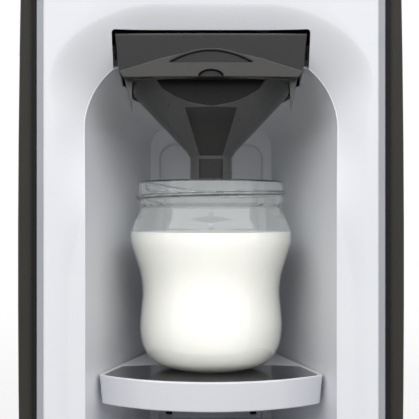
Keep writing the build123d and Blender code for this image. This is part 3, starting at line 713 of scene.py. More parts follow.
# ------------------------------------------------------------------ front shell
@dataclass
class FrontShell:
    """White bezel whose face scoops back into a hood round the top of the bay.

    The face is a grid: one parameter runs along the bay's arch from the left foot to the right foot,
    the other leads from inside the bay over its rim, up the scoop, across the flat and round the side.
    """

    half_width: float = 72.2
    bottom: float = 14.0
    top: float = 268.0
    back: float = 24.0
    wall: float = 0.25
    edge_mm: float = 0.35               # rounding of the cut edges
    bay_half: float = 56.0
    bay_top: float = 197.0
    bay_corner: float = 33.0
    rim_round: float = 0.3
    side_round: float = 0.9
    top_round: float = 1.3
    scoop_power: float = 1.3
    scoop_starts: float = 122.0         # the scoop deepens between these heights
    scoop_full: float = 191.0
    ring_shrinks: tuple[float, float] = (96.0, 136.0)   # the flat beside the rim gets narrow
    ring: tuple[float, float] = (7.4, 6.95)             # its width below, and what it loses
    rim_inset: float = 1.8              # the rim stands into the bay where there is no hood
    legs: tuple[float, float] = (1.5, 11.0)             # depth and width of the scoop below
    hood: tuple[float, float] = (10.5, 1.0)             # what the hood adds to them
    crown: tuple[float, float] = (-3.0, 8.2)            # what the top of the arch adds
    corner: tuple[float, float] = (1.5, 3.5)            # what the corners of the arch add
    liner_meets: float = 12.5           # depth at which the bay's lining takes over
    # openings: left and right, bottom and top, then the radius of their corners and their depth
    funnel_hole: Pairs = ((-43.0, 43.0), (150.0, 206.6), (1.5, 22.5))
    fascia_hole: Pairs = ((-60.1, 60.1), (221.9, 262.1), (3.0, 8.0))
    hole_starts: float = -5.0           # depth at which their cutters begin

    def arch(self) -> tuple[np.ndarray, np.ndarray, np.ndarray, np.ndarray]:
        """Path along the bay's rim.

        The left half is a straight leg, a part of a circle and a level run, and the right half mirrors
        it. From each point the outward normal leads to the border of the face.

        Returns:
            Points, their outward normals, the points on the inset border of the face that they
            lead to, and the step from there to the true border.
        """
        spring = self.bay_top - self.bay_corner
        flat = self.bay_half - self.bay_corner
        edge = np.array([self.half_width - self.side_round, self.top - self.top_round])
        reach = np.array([self.side_round, self.top_round])
        leg = np.linspace(self.bottom, spring, 72)[:-1]
        corner = np.degrees(np.arctan2(edge[1] - spring, flat - edge[0]))
        turn = np.radians(np.concatenate([np.linspace(180.0, corner, 26),
                                          np.linspace(corner, 90.0, 16)[1:]]))
        normal = np.stack([np.cos(turn), np.sin(turn)], axis=-1)
        centre = np.array([-flat, spring])
        bend = centre + self.bay_corner * normal
        steps = np.minimum((edge[0] - flat) / np.maximum(-normal[:, 0], 1e-6),
                           (edge[1] - spring) / np.maximum(normal[:, 1], 1e-6))
        border = centre + steps[:, None] * normal
        on_side = border[:, 0] < 0.01 - edge[0]
        on_top = border[:, 1] > edge[1] - 0.01
        outward = np.stack([-reach[0] * on_side, reach[1] * on_top], axis=-1)
        side = np.ones_like(leg)
        points = np.vstack([np.stack([-self.bay_half * side, leg], axis=-1), bend])
        normals = np.vstack([np.stack([-side, 0 * side], axis=-1), normal])
        borders = np.vstack([np.stack([-edge[0] * side, leg], axis=-1), border])
        outwards = np.vstack([np.stack([-reach[0] * side, 0 * side], axis=-1), outward])
        across = np.linspace(-flat, 0.0, 13)[1:]
        level = np.ones_like(across)
        points = np.vstack([points, np.stack([across, self.bay_top * level], axis=-1)])
        normals = np.vstack([normals, np.stack([0 * level, level], axis=-1)])
        borders = np.vstack([borders, np.stack([across, edge[1] * level], axis=-1)])
        outwards = np.vstack([outwards, np.stack([0 * level, reach[1] * level], axis=-1)])
        flip = np.array([-1.0, 1.0])
        return tuple(np.vstack([half, half[-2::-1] * flip])
                     for half in (points, normals, borders, outwards))

    def face_grid(self) -> np.ndarray:
        """Points of the face, one row per step away from the bay.

        Offsets are measured along the outward normal of the arch and depths back from the face. The
        scoop's depth falls as (1 - t) to a power from the rim at t = 0 to the flat at t = 1, so it is
        steep at the rim and leaves the flat without an edge.

        Returns:
            Grid of points.
        """
        points, normals, borders, outwards = self.arch()
        hood = smooth_step(points[:, 1], self.scoop_starts, self.scoop_full)
        ringless = smooth_step(points[:, 1], *self.ring_shrinks)
        crown = smooth_step(np.abs(normals[:, 1]), 0.0, 1.0)
        corner = 4.0 * crown * (1.0 - crown)
        edge = self.rim_inset * (hood - 1.0)
        ring = self.ring[0] - self.ring[1] * ringless
        depth = self.legs[0] + (self.hood[0] + self.crown[0] * crown + self.corner[0] * corner) * hood
        width = self.legs[1] + self.hood[1] * hood + self.crown[1] * crown + self.corner[1] * corner
        rows = []

        def lay(offset: np.ndarray, back: np.ndarray) -> None:
            """Adds a row at an offset from the arch and a depth behind the face."""
            flat = points + normals * offset[:, None]
            rows.append(np.stack([flat[:, 0], FRONT + back + 0 * offset, flat[:, 1]], axis=-1))

        lay(0 * edge - 0.15, 0 * edge + self.liner_meets)
        for angle in np.radians(np.linspace(0.0, 90.0, 6)):
            lay(edge + self.rim_round * (1 - np.cos(angle)), depth + self.rim_round * (1 - np.sin(angle)))
        lay(edge + 0.6 * ring + 0.4 * self.rim_round, depth - 0.04 * ringless)
        for t in np.linspace(0.0, 1.0, 22):
            lay(edge + ring + t * (width - ring - edge), depth * (1 - t) ** self.scoop_power)
        rim = points + normals * width[:, None]
        for t in np.linspace(0.0, 1.0, 8)[1:]:
            flat = rim + t * (borders - rim)
            rows.append(np.stack([flat[:, 0], FRONT + 0 * edge, flat[:, 1]], axis=-1))
        reach = np.abs(outwards).max(axis=1)
        for angle in np.radians(np.linspace(0.0, 90.0, 7)[1:]):
            flat = borders + outwards * np.sin(angle)
            rows.append(np.stack([flat[:, 0], FRONT + reach * (1 - np.cos(angle)), flat[:, 1]], axis=-1))
        for back in (0.4 * self.back, self.back):
            flat = borders + outwards
            rows.append(np.stack([flat[:, 0], FRONT + back + 0 * edge, flat[:, 1]], axis=-1))
        return np.array(rows)

    def build(self) -> None:
        """Makes the shell with the openings for the funnel and the controls."""
        mesh = surface_mesh("front_hood", self.face_grid(), False)
        piece = add_piece("front_hood", mesh, BEZEL_ABS, "housing", ("front_shell",))
        face_the_room(piece, Vector((0.0, -1.0, 0.0)))
        wall = piece.modifiers.new("wall", "SOLIDIFY")
        wall.thickness = self.wall * MM
        wall.offset = -1.0
        wall.use_even_offset = False
        cutters = []
        for x, z, (corner, deep) in (self.funnel_hole, self.fascia_hole):
            reach = (FRONT + self.hole_starts, FRONT + deep)
            cutters.append(cutter_object(prism("opening", rounded_rectangle(x, z, corner), reach)))
        carve(piece, cutters)
        piece.data.set_sharp_from_angle(angle=np.radians(CREASE_DEG))
        round_edges(piece, self.edge_mm, 2, 50.0)


def face_the_room(piece: bpy.types.Object, direction: Vector) -> None:
    """Turns an open sheet's faces round if most of them look away from direction.

    Args:
        piece: object with the sheet.
        direction: way that the faces have to look.
    """
    seen = sum(face.area * face.normal.dot(direction) for face in piece.data.polygons)
    if seen < 0:
        piece.data.flip_normals()


# ------------------------------------------------------------------ bottle
@dataclass
class Bottle:
    """Clear wide-neck bottle with a pinched waist, one screw thread, and its filling of formula."""

    base: float = 53.5
    axis_y: float = FRONT + 46.5
    height: float = 88.9
    wall: float = 1.8
    neck_r: float = 34.6
    thread_height: float = 1.5
    thread_pitch: float = 4.8
    thread_low: float = 78.7            # height of the thread where it passes +X
    thread_starts: float = 100.0        # degrees from +X
    thread_turns: float = 1.2
    thread_run_out: float = 14.0        # degrees over which its ends fade
    thread_half: float = 0.75           # half its height
    neck_low: float = 78.0
    rim_round: float = 0.9
    bore: tuple[float, float] = (84.0, 76.0)            # heights of the straight bore
    floor_meets: float = 3.8            # height at which the inner wall meets the floor
    fill_level: float = 64.0
    fill_overlap: float = 0.06          # how far the filling touches into the wall
    segments: int = 192
    # outside: radius and height of the base's push-up, the waist and shoulder, and the groove above
    push_up: Pairs = ((0.0, 1.6), (8.0, 1.3), (14.0, 0.5))
    waist: Pairs = ((18.0, 0.0), (27.3, 3.6), (32.2, 10.5), (33.8, 19.3), (33.3, 28.0), (32.6, 36.5),
                    (33.6, 45.0), (36.2, 53.5), (38.2, 61.0), (37.6, 67.5), (35.4, 72.4))
    groove: Pairs = ((34.6, 74.3), (34.0, 75.6), (34.0, 77.0))
    floor: Pairs = ((20.0, 2.9), (14.0, 2.5), (8.0, 3.1), (0.0, 3.4))
    meniscus: Pairs = ((0.0, 0.9), (0.5, 0.45), (1.3, 0.12), (2.6, 0.0))   # distance from the wall, rise

    def outer_profile(self) -> np.ndarray:
        """Outside from the middle of the base to the neck, as rows of radius and height."""
        return np.vstack([self.push_up, smooth_curve(np.array(self.waist), 8)])

    def neck_profile(self) -> np.ndarray:
        """Groove under the thread, then the straight neck with a round rim.

        Returns:
            Rows of radius and height.
        """
        straight = np.linspace(self.neck_low + 0.3, self.height - self.rim_round, 50)
        neck = np.stack([np.full_like(straight, self.neck_r), straight], axis=-1)
        centre = (self.neck_r - self.rim_round, self.height - self.rim_round)
        rim = arc(centre, self.rim_round, 0.0, 180.0, 9)
        return np.vstack([self.groove, (self.neck_r, self.neck_low), neck, rim])

    def inner_profile(self) -> np.ndarray:
        """Inside wall from the rim down to the middle of the floor.

        Returns:
            Rows of radius and height.
        """
        outside = self.outer_profile()[len(self.push_up):]
        inside = outside[::-1] + np.array([-self.wall, 0.0])
        inside = inside[inside[:, 1] > self.floor_meets]
        neck = np.array([(self.neck_r - self.wall, height) for height in self.bore])
        return np.vstack([neck, inside, self.floor])

    def shell(self) -> np.ndarray:
        """Whole wall as one closed grid; the thread is a ridge that climbs with the angle.

        The ridge falls off as exp(-(d / half) ** 4) with the distance d up or down from a helix, and
        fades at both ends of its turn.

        Returns:
            Grid of points, one row per point of the profile.
        """
        profile = np.vstack([self.outer_profile(), self.neck_profile(), self.inner_profile()])
        grid = turned_grid(profile, (0.0, self.axis_y), self.segments)
        grid[..., 2] += self.base
        outside = slice(0, len(profile) - len(self.inner_profile()))
        angle = np.linspace(0.0, 360.0, self.segments, endpoint=False)
        height = profile[outside, 1:]
        ridge = np.zeros((profile[outside].shape[0], self.segments))
        for turn in range(3):
            travel = angle + 360.0 * turn
            centre = self.thread_low + self.thread_pitch * travel / 360.0
            last = self.thread_starts + 360.0 * self.thread_turns
            ends = (smooth_step(travel, self.thread_starts, self.thread_starts + self.thread_run_out)
                    * (1 - smooth_step(travel, last - self.thread_run_out, last)))
            ridge = np.maximum(ridge, ends * np.exp(-((height - centre) / self.thread_half) ** 4))
        ridge *= (height > self.neck_low) & (profile[outside, :1] > self.neck_r - 0.01)
        radial = np.stack([np.cos(np.radians(angle)), np.sin(np.radians(angle))], axis=-1)
        grid[outside, :, :2] += self.thread_height * ridge[..., None] * radial
        return grid

    def edges(self, shell: bpy.types.Mesh) -> np.ndarray:
        """Faces of the lip and of the thread's flanks, which get painted dark lines where the wall is seen
        edge-on.

        Args:
            shell: mesh of the wall.

        Returns:
            True for each such face.
        """
        centre = np.empty(3 * len(shell.polygons))
        normal = np.empty_like(centre)
        shell.polygons.foreach_get("center", centre)
        shell.polygons.foreach_get("normal", normal)
        x, y, z = centre.reshape(-1, 3).T / MM
        steep = np.abs(normal[2::3]) > 0.6
        height = z - self.base
        proud = np.hypot(x, y - self.axis_y) > self.neck_r + 0.1
        return (height > self.height - 0.8) | (proud & steep & (height > self.neck_low))

    def filling(self) -> np.ndarray:
        """Formula: follows the inside wall, just touching into it, and curls up at its edge.

        Returns:
            Grid of points, one row per point of the profile.
        """
        inside = self.inner_profile()[::-1]
        body = inside[inside[:, 1] < self.fill_level] + np.array([self.fill_overlap, -self.fill_overlap])
        body[0] = (0.0, body[0, 1])
        last = np.interp(self.fill_level, inside[:, 1], inside[:, 0]) + self.fill_overlap
        curl = np.array([(last - inward, self.fill_level + rise) for inward, rise in self.meniscus])
        level = np.array([(last * 0.5, self.fill_level), (0.0, self.fill_level)])
        grid = turned_grid(np.vstack([body, curl, level]), (0.0, self.axis_y), 128)
        grid[..., 2] += self.base
        return grid

    def build(self) -> None:
        """Makes the bottle and its filling."""
        shell = surface_mesh("bottle_wall", self.shell(), True, crease_deg=50.0)
        add_piece("bottle_wall", shell, BOTTLE_CLEAR, "bottle", ("bottle",))
        shell.materials.append(BOTTLE_DARK_EDGE.material())
        # The lip and the thread's flanks get the dark-tinted copy of the clear wall: painted dark edge
        # lines.
        shell.polygons.foreach_set("material_index", self.edges(shell).astype(np.int32))
        milk = surface_mesh("formula_filling", self.filling(), True, crease_deg=60.0)
        add_piece("formula_filling", milk, Milk("mixed_formula"), "bottle")


# ------------------------------------------------------------------ funnel front
@dataclass
class FunnelFront:
    """Front panel of the funnel: flat above, a ledge that leans out below, and a finger pull in it.

    The panel is a grid across and up. Its relief is a height field towards the user: the ledge leans
    back from its lower edge to the long bow of its upper edge, and the lens of the pull lies below the
    panel's plane inside a thin raised rim.
    """

    face: float = FRONT + 5.0
    back: float = FRONT + 8.0
    low: float = 185.6
    high: float = 205.6
    lean: float = 0.21                  # how far the ledge comes forward per millimetre down
    ledge_low: float = 186.4
    pull_half: float = 18.1
    pull_low: float = 192.8
    pull_high: float = 198.0
    pull_depth: float = 0.9
    ridge: float = 0.35                 # height of the pull's raised rim
    thumb_half: float = 5.6             # half width of the thumb's hollow at the ledge's lower edge
    thumb_squeeze: float = 1.75         # its width over its height
    thumb_depth: float = 0.6
    edge: float = 0.5
    flange_back: float = FRONT + 12.5
    # height and half width of the panel; place across and height of the ledge's upper edge; the flange
    sides: Pairs = ((185.2, 37.3), (188.2, 39.9), (190.0, 40.3), (205.6, 42.1))
    bow: Pairs = ((0.0, 197.6), (8.0, 197.2), (15.7, 195.9), (21.9, 194.5), (31.1, 191.6),
                  (40.2, 188.9), (42.2, 188.2))
    flange: Pairs = ((-41.0, 192.0), (-40.0, 192.0), (-40.0, 203.9), (40.0, 203.9), (40.0, 192.0),
                     (41.0, 192.0), (41.0, 205.6), (-41.0, 205.6))

    def half_width(self, z: np.ndarray) -> np.ndarray:
        """Half the panel's width at a height."""
        return np.interp(z, *np.transpose(self.sides))

    def relief(self, x: np.ndarray, z: np.ndarray) -> np.ndarray:
        """Height towards the user over the panel's plane.

        Args:
            x: places across.
            z: heights.

        Returns:
            Heights of the relief at these places.
        """
        bow = np.interp(np.abs(x), *np.transpose(self.bow))
        ledge = self.lean * np.maximum(bow - z, 0.0)
        ledge *= 1.0 - smooth_step(-z, -self.ledge_low, -self.low)
        across = np.clip(np.abs(x) / self.pull_half, 0.0, 1.0)
        rim = self.pull_low + (self.pull_high - self.pull_low) * (1.0 - across ** 2)
        inside = smooth_step(rim - z, 0.0, 0.35) * smooth_step(z, self.pull_low - 0.1, self.pull_low + 0.25)
        inside *= np.abs(x) < self.pull_half
        lens = ledge * (1.0 - inside) - self.pull_depth * inside
        ridge = self.ridge * np.exp(-((z - rim - 0.25) / 0.3) ** 2) * (np.abs(x) < self.pull_half)
        reach = np.hypot(x, self.thumb_squeeze * (z - self.ledge_low))
        thumb = smooth_step(self.thumb_half - reach, 0.0, 0.8) * (z > self.ledge_low)
        return lens * (1.0 - thumb) + ridge - self.thumb_depth * thumb

    def grid(self) -> np.ndarray:
        """Front of the panel with rounded edges, its rim carried to the back.

        The relief stands in front of the face, which falls back along a quarter circle at its border.

        Returns:
            Grid of points, one row per height.
        """
        across = np.linspace(-1.0, 1.0, 281)
        border = np.array([0.0, 0.08, 0.2, 0.38]) * self.edge
        rows = np.concatenate([self.low + border, np.linspace(186.2, 199.2, 92),
                               np.linspace(199.6, 205.0, 8), self.high - border[::-1]])
        z, s = np.meshgrid(rows, across, indexing="ij")
        x = s * self.half_width(z)
        inset = np.minimum.reduce([self.half_width(z) - np.abs(x), z - self.low, self.high - z])
        drop = self.edge - np.sqrt(np.maximum(
            self.edge ** 2 - np.maximum(self.edge - inset, 0.0) ** 2, 0.0))
        y = self.face - self.relief(x, z) + drop
        grid = np.pad(np.stack([x, y, z], axis=-1), ((1, 1), (1, 1), (0, 0)), mode="edge")
        grid[[0, -1], :, 1] = self.back
        grid[:, [0, -1], 1] = self.back
        return grid

    def build(self) -> None:
        """Makes the panel and the flange behind it that holds it to the tray."""
        mesh = surface_mesh("funnel_front", self.grid(), False, SKIN_CREASE_DEG)
        closed_sheet(mesh)
        add_piece("funnel_front", mesh, SMOKE_PLASTIC, "funnel", ("funnel_cover",))
        # The ledge's faces get the lighter copy of the smoke plastic: painted sheen where the leaning ledge
        # catches the lamps.
        mesh.materials.append(LEDGE_SHEEN_PLASTIC.material())
        centres = np.empty(3 * len(mesh.polygons))
        mesh.polygons.foreach_get("center", centres)
        x, y, z = centres.reshape(-1, 3).T / MM
        ledge_sheen_faces = (self.relief(x, z) > 0.04) & (y < self.face + 0.3) & (z > self.low + self.edge)
        mesh.polygons.foreach_set("material_index", ledge_sheen_faces.astype(np.int32))
        flange = prism("flange", np.array(self.flange), (self.back - 0.05, self.flange_back))
        add_piece("funnel_front_flange", flange, SMOKE_PLASTIC, "funnel")


def closed_sheet(mesh: bpy.types.Mesh) -> None:
    """Fills the open border of a sheet and turns all faces outward.

    Args:
        mesh: the sheet, changed in place.
    """
    work = bmesh.new()
    work.from_mesh(mesh)
    bmesh.ops.holes_fill(work, edges=[edge for edge in work.edges if edge.is_boundary], sides=0)
    bmesh.ops.recalc_face_normals(work, faces=work.faces)
    work.to_mesh(mesh)
    work.free()
    mesh.set_sharp_from_angle(angle=np.radians(SKIN_CREASE_DEG))


@dataclass
class FunnelShadeSkin:
    """Smooth skin that follows the front of the cone or spout over a facet-shaped patch, in a darker copy
    of the smoke plastic: painted dark reflection on the facets, painted shadow on the cone's flat under the
    panel.

    Its edges are given as half widths at heights; radius gives the turned surface below it.
    """

    name: str
    heights: tuple[float, ...]
    half_widths: tuple[float, ...]
    radii: tuple[float, ...]
    finish: Finish
    proud: float = 0.22
    axis_y: float = FRONT + 45.0
    flat: float = FRONT + 15.8          # nothing stands in front of the cone's flat

    def build(self) -> None:
        """Makes the skin with its border sunk into the turned surface.

        Each point lies on the circle of its height's radius or on the flat, whichever is farther back,
        and stands a little in front of it.
        """
        z = np.linspace(self.heights[0], self.heights[-1], 14)[:, None]
        half = np.interp(z, self.heights, self.half_widths)
        radius = np.interp(z, self.heights, self.radii)
        x = half * np.linspace(-1.0, 1.0, 21)[None, :]
        y = self.axis_y - np.sqrt(np.maximum(radius ** 2 - x ** 2, 0.0))
        y = np.maximum(y, self.flat) - self.proud
        grid = np.pad(np.stack([x, y, z + 0.0 * x], axis=-1), ((1, 1), (1, 1), (0, 0)), mode="edge")
        for border in ((slice(None), [0, -1]), ([0, -1], slice(None))):
            grid[border[0], border[1], 1] += 2.0 * self.proud
        mesh = surface_mesh(self.name, grid, False, SKIN_CREASE_DEG)
        closed_sheet(mesh)
        add_piece(self.name, mesh, self.finish, "funnel")


# ------------------------------------------------------------------ tank valve
@dataclass(frozen=True)
class ValveSpring:
    """Steel coil over the valve's head; it shortens as the poppet is pushed up.

    The wire is a tube round a helix: one parameter runs along the helix, the other round the wire.
    """

    coil_r: float = 5.0
    wire_r: float = 0.45
    low: float = 50.1
    rise: float = 12.7
    pitch: float = 3.1
    axis_y: float = 82.0
    lift: float = 3.0                   # travel of the poppet

    def wire(self) -> np.ndarray:
        """Closed surface of the wire: circles square to the helix, drawn to a point at its two ends.

        Returns:
            Grid of points, one row per step along the helix.
        """
        height = np.linspace(0.0, self.rise, 130)[:, None]
        turn = 2.0 * np.pi * height / self.pitch
        outward = np.concatenate([np.cos(turn), np.sin(turn), 0.0 * turn], axis=1)
        slope = self.pitch / (2.0 * np.pi * self.coil_r)
        along = np.concatenate([-np.sin(turn), np.cos(turn), 0.0 * turn + slope], axis=1)
        across = np.cross(along, outward) / np.hypot(1.0, slope)
        middle = self.coil_r * outward + np.array([0.0, self.axis_y, self.low])
        middle[:, 2:] += height
        angle = np.linspace(0.0, 2.0 * np.pi, 12, endpoint=False)[None, :, None]
        ring = np.cos(angle) * outward[:, None, :] + np.sin(angle) * across[:, None, :]
        thick = np.full((len(height) + 2, 1, 1), self.wire_r)
        thick[[0, -1]] = 0.0
        return np.pad(middle, ((1, 1), (0, 0)), mode="edge")[:, None, :] + thick * np.pad(
            ring, ((1, 1), (0, 0), (0, 0)), mode="edge")

    def build(self) -> None:
        """Makes the coil."""
        coil = add_piece("valve_coil", surface_mesh("valve_coil", self.wire(), True, 60.0), STEEL,
                         BODY_OF["valve_spring"], ("valve_spring",))
        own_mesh(coil)


# ------------------------------------------------------------------ controls
class Mark(Enum):
    """Printed signs on the buttons: one or more outlines (x, z) about the button's middle."""

    POWER = "power"
    WARM = "warm"
    LESS = "less"
    MORE = "more"
    SCOOP = "scoop"
    START = "start"

    def outlines(self) -> list[np.ndarray]:
        """Closed outlines of the sign in millimetres, about 5 mm across.

        Returns:
            One array of points per outline.
        """
        bar = rounded_rectangle((-1.9, 1.9), (-0.3, 0.3), 0.28, 4)
        upright_bar = bar[:, ::-1] * np.array([-1.0, 1.0])
        if self is Mark.POWER:
            ring = np.vstack([arc((0, 0), 2.3, 125, 415, 40), arc((0, 0), 1.75, 415, 125, 40)])
            return [ring, rounded_rectangle((-0.28, 0.28), (0.7, 2.9), 0.27, 4)]
        if self is Mark.WARM:
            stem = rounded_rectangle((-0.5, 0.5), (-0.6, 2.8), 0.48, 5)
            return [arc((0, -1.5), 1.15, 0, 355, 32), stem]
        if self is Mark.LESS:
            return [bar]
        if self is Mark.MORE:
            return [bar, upright_bar]
        if self is Mark.SCOOP:
            bowl = np.vstack([arc((-0.9, 0.2), 1.5, 180, 360, 20), [(0.6, 0.75), (-2.4, 0.75)]])
            return [bowl, rounded_rectangle((0.5, 2.8), (0.35, 0.8), 0.2, 4)]
        return [np.array([(-1.9, -2.7), (3.0, 0.0), (-1.9, 2.7)])]


@dataclass(frozen=True)
class Controls:
    """Signs printed on the buttons and the lit digits behind the display window."""

    cap_face: float = FRONT + 0.2
    digit_face: tuple[float, float] = (FRONT + 3.7, FRONT + 4.45)
    digit_size: tuple[float, float] = (8.0, 14.0)
    digit_thick: float = 0.75
    digit_height: float = 242.5         # middle of the digits over the worktop
    start_size: float = 1.35            # the start button is larger, and so is its sign
    reading: str = "120"
    # button, middle of its cap across and up, sign
    places: tuple[tuple[str, float, float, Mark], ...] = (
        ("button_power", -47.0, 250.0, Mark.POWER), ("button_temperature", -47.0, 234.0, Mark.WARM),
        ("button_less", -31.0, 234.0, Mark.LESS), ("button_more", -31.0, 250.0, Mark.MORE),
        ("button_formula", 33.0, 250.0, Mark.SCOOP), ("button_start", 44.0, 236.0, Mark.START))

    def marks(self) -> None:
        """Prints each sign on its button, so that it moves with it."""
        for button, x, z, mark in self.places:
            size = self.start_size if mark is Mark.START else 1.0
            for number, outline in enumerate(mark.outlines()):
                flat = outline * size + np.array([x, z])
                depth = (self.cap_face - 0.05 - 0.02 * number, self.cap_face + 0.1)
                mesh = prism(f"{button}_{mark.value}_{number}", flat, depth)
                add_piece(mesh.name, mesh, PRINT_INK, BODY_OF[button])

    def digits(self) -> None:
        """Seven-segment digits, each segment a bar with pointed ends."""
        lit = {"0": "abcdef", "1": "bc", "2": "abged"}
        width, height = self.digit_size
        reach, thick = width / 2, self.digit_thick
        middles = {"a": (0, height / 2, 0), "g": (0, 0, 0), "d": (0, -height / 2, 0),
                   "b": (reach, height / 4, 1), "c": (reach, -height / 4, 1),
                   "e": (-reach, -height / 4, 1), "f": (-reach, height / 4, 1)}
        for place, figure in enumerate(self.reading):
            x = (place - (len(self.reading) - 1) / 2) * width * 1.5
            for segment in lit[figure]:
                mx, mz, turned = middles[segment]
                half = (height / 4 if turned else reach) - 0.3
                bar = np.array([(-half, 0.0), (-half + thick, -thick), (half - thick, -thick),
                                (half, 0.0), (half - thick, thick), (-half + thick, thick)])
                bar = bar[:, ::-1] if turned else bar
                flat = bar + np.array([x + mx, self.digit_height + mz])
                mesh = prism(f"digit_{place}_{segment}", flat, self.digit_face)
                add_piece(mesh.name, mesh, LED_GLOW, "housing")

    def build(self) -> None:
        """Makes signs and digits."""
        self.marks()
        self.digits()


# ------------------------------------------------------------------ studio
class LampPlace(Enum):
    """Where each soft lamp stands, in metres: place, aim, width, height and power in watts."""

    KEY_LEFT = ((-1.10, -1.70, 1.58), (0.0, -0.10, 0.12), 2.6, 1.3, 29.0)
    KEY_RIGHT = ((1.10, -1.70, 1.58), (0.0, -0.10, 0.12), 2.6, 1.3, 29.0)
    FRONT_LEFT = ((-0.45, -1.35, 0.60), (0.0, -0.10, 0.10), 0.6, 0.5, 2.0)
    FRONT_RIGHT = ((0.45, -1.35, 0.60), (0.0, -0.10, 0.10), 0.6, 0.5, 2.0)
    SIDE_LEFT = ((-1.20, -0.60, 0.30), (0.0, -0.10, 0.13), 0.5, 1.0, 0.8)
    SIDE_RIGHT = ((1.20, -0.60, 0.30), (0.0, -0.10, 0.13), 0.5, 1.0, 0.8)
    BEHIND = ((0.0, 1.30, 0.90), (0.0, 0.10, 0.16), 1.4, 0.9, 9.0)


def seen_directly(tree: bpy.types.NodeTree) -> bpy.types.NodeSocket:
    """1 for rays that show the background: camera, mirror and glass.

    Args:
        tree: node tree.

    Returns:
        Output that is 0 for all other rays.
    """
    path = add_node(tree, "ShaderNodeLightPath")
    total = path.outputs["Is Camera Ray"]
    for other in ("Is Glossy Ray", "Is Transmission Ray"):
        total = add_node(tree, "ShaderNodeMath", {"operation": "ADD", "use_clamp": True},
                         {0: total, 1: path.outputs[other]}).outputs[0]
    return total


@dataclass(frozen=True)
class StudioFloor(Finish):
    """Matt white paint; away from the object it goes over into the white of the surround."""

    colour: str = "#eeeef0"
    bounced: str = "#505052"            # what the floor gives back to matt surfaces
    near: float = 0.25                  # metres from the object's middle
    far: float = 0.9
    near_share: float = 0.7             # share of plain white beside the object

    def surface(self, tree: bpy.types.NodeTree) -> bpy.types.NodeSocket:
        """Lit paint, with plain white mixed in by distance where the floor is seen.

        Args:
            tree: node tree of the material.

        Returns:
            Output of the shader.
        """
        where = add_node(tree, "ShaderNodeTexCoord").outputs["Object"]
        reach = add_node(tree, "ShaderNodeVectorMath", {"operation": "LENGTH"}, {0: where})
        away = add_node(tree, "ShaderNodeMapRange", inputs={
            "Value": reach.outputs["Value"], 1: self.near, 2: self.far, 3: self.near_share, 4: 1.0})
        seen = seen_directly(tree)
        share = add_node(tree, "ShaderNodeMath", {"operation": "MULTIPLY"},
                         {0: away.outputs[0], 1: seen}).outputs[0]
        shade = add_node(tree, "ShaderNodeMix", {"data_type": "RGBA"},
                         {0: seen, 6: hex_to_linear(self.bounced), 7: hex_to_linear(self.colour)})
        paint = add_node(tree, "ShaderNodeBsdfPrincipled", inputs={
            "Base Color": shade.outputs[2], "Roughness": 0.7})
        white = add_node(tree, "ShaderNodeEmission", inputs={"Color": (1.0, 1.0, 1.0, 1.0)})
        return add_node(tree, "ShaderNodeMixShader", inputs={
            0: share, 1: paint.outputs[0], 2: white.outputs[0]}).outputs[0]


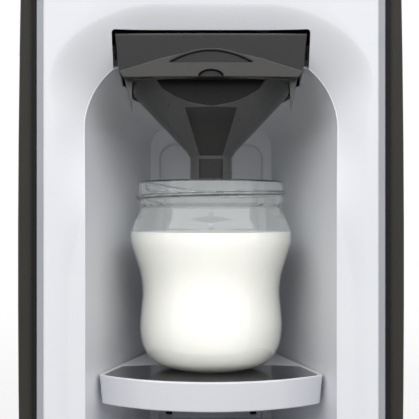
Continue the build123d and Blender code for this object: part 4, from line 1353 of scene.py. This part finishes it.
@dataclass
class Studio:
    """Pale floor, soft lamps, plain surround and the camera."""

    eye: tuple[float, float, float] = (0.0, -0.5501, 0.125)
    lens: float = 81.51
    sensor: float = 36.0
    shift: tuple[float, float] = (-0.0036, 0.0203)
    fill: float = 0.3                   # strength of the surround on matt surfaces
    floor_reach: float = 6.0
    floor_height: float = -0.0002       # just under the feet

    def surround(self) -> None:
        """White background that lights matt surfaces only with the fill."""
        world = bpy.data.worlds.new("studio_surround")
        bpy.context.scene.world = world
        world.use_nodes = True
        tree = world.node_tree
        tree.nodes.clear()
        strength = add_node(tree, "ShaderNodeMapRange",
                            inputs={"Value": seen_directly(tree), 3: self.fill})
        light = add_node(tree, "ShaderNodeBackground", inputs={
            "Color": (1.0, 1.0, 1.0, 1.0), "Strength": strength.outputs[0]})
        add_node(tree, "ShaderNodeOutputWorld", inputs={"Surface": light.outputs[0]})

    def floor(self) -> None:
        """Large plain floor just under the feet."""
        mesh = bpy.data.meshes.new("studio_floor")
        signs = ((-1, -1), (1, -1), (1, 1), (-1, 1))
        corners = [(x * self.floor_reach, y * self.floor_reach, self.floor_height) for x, y in signs]
        mesh.from_pydata(corners, [], [(0, 1, 2, 3)])
        floor = bpy.data.objects.new("studio_floor", mesh)
        bpy.context.scene.collection.objects.link(floor)
        mesh.materials.append(StudioFloor("painted_floor").material())

    def lamps(self) -> None:
        """Large soft lamps that the camera doesn't see."""
        for place in LampPlace:
            where, aim, width, height, power = place.value
            light = bpy.data.lights.new(f"lamp_{place.name.lower()}", "AREA")
            light.shape = "RECTANGLE"
            light.size = width
            light.size_y = height
            light.energy = power
            lamp = bpy.data.objects.new(light.name, light)
            bpy.context.scene.collection.objects.link(lamp)
            toward = (Vector(aim) - Vector(where)).to_track_quat("-Z", "Y")
            lamp.matrix_world = Matrix.Translation(where) @ toward.to_matrix().to_4x4()
            lamp.visible_camera = False
            lamp.visible_glossy = not place.name.startswith("FRONT")
            lamp.visible_transmission = False

    def camera(self) -> None:
        """Level camera straight in front of the bay."""
        lens = bpy.data.cameras.new("front_camera")
        lens.lens = self.lens
        lens.sensor_width = self.sensor
        lens.sensor_fit = "HORIZONTAL"
        lens.shift_x, lens.shift_y = self.shift
        lens.clip_start = 0.01
        camera = bpy.data.objects.new("front_camera", lens)
        bpy.context.scene.collection.objects.link(camera)
        camera.location = self.eye
        camera.rotation_euler = (np.pi / 2, 0.0, 0.0)
        bpy.context.scene.camera = camera

    def build(self) -> None:
        """Sets up everything that isn't the object."""
        bpy.context.scene.view_settings.view_transform = "Standard"
        self.surround()
        self.floor()
        self.lamps()
        self.camera()


def dress_nodes() -> None:
    """Gives every node that stays its finish in place of the plain one."""
    for name, node in frame["nodes"].items():
        for held in node.material_slots:
            held.material = NODE_FINISH[name].material()
    LOG.info("dressed %d nodes", len(frame["nodes"]))


def main() -> None:
    """Builds the object sub-assembly by sub-assembly, then the studio."""
    logging.basicConfig(level=logging.INFO, format="%(name)s: %(message)s")
    FrontShell().build()
    Bottle().build()
    FunnelFront().build()
    # Darker skins on the funnel: painted dark reflection on the cone's and spout's facets, painted shadow
    # on the cone's flat.
    FunnelShadeSkin("cone_facet_painted_reflection", (154.2, 174.6), (5.3, 11.7), (10.4, 28.8), FACET_SHADE_PLASTIC).build()
    FunnelShadeSkin("spout_facet_painted_reflection", (143.6, 152.6), (5.6, 5.6), (9.9, 9.9), FACET_SHADE_PLASTIC).build()
    FunnelShadeSkin("cone_flat_painted_shadow", (175.2, 176.5, 178.0, 180.0, 182.7, 187.0), (0.8, 9.0, 13.0, 17.1, 21.7, 24.4),
                (29.4, 30.6, 32.0, 33.9, 36.5, 38.2), RECESS_SHADOW_PLASTIC).build()
    ValveSpring().build()
    Controls().build()
    for node, (edge, name, segments) in SOFTENED.items():
        softened(node, edge, name, segments)
    dress_nodes()
    Studio().build()


if __name__ == "__main__":
    main()
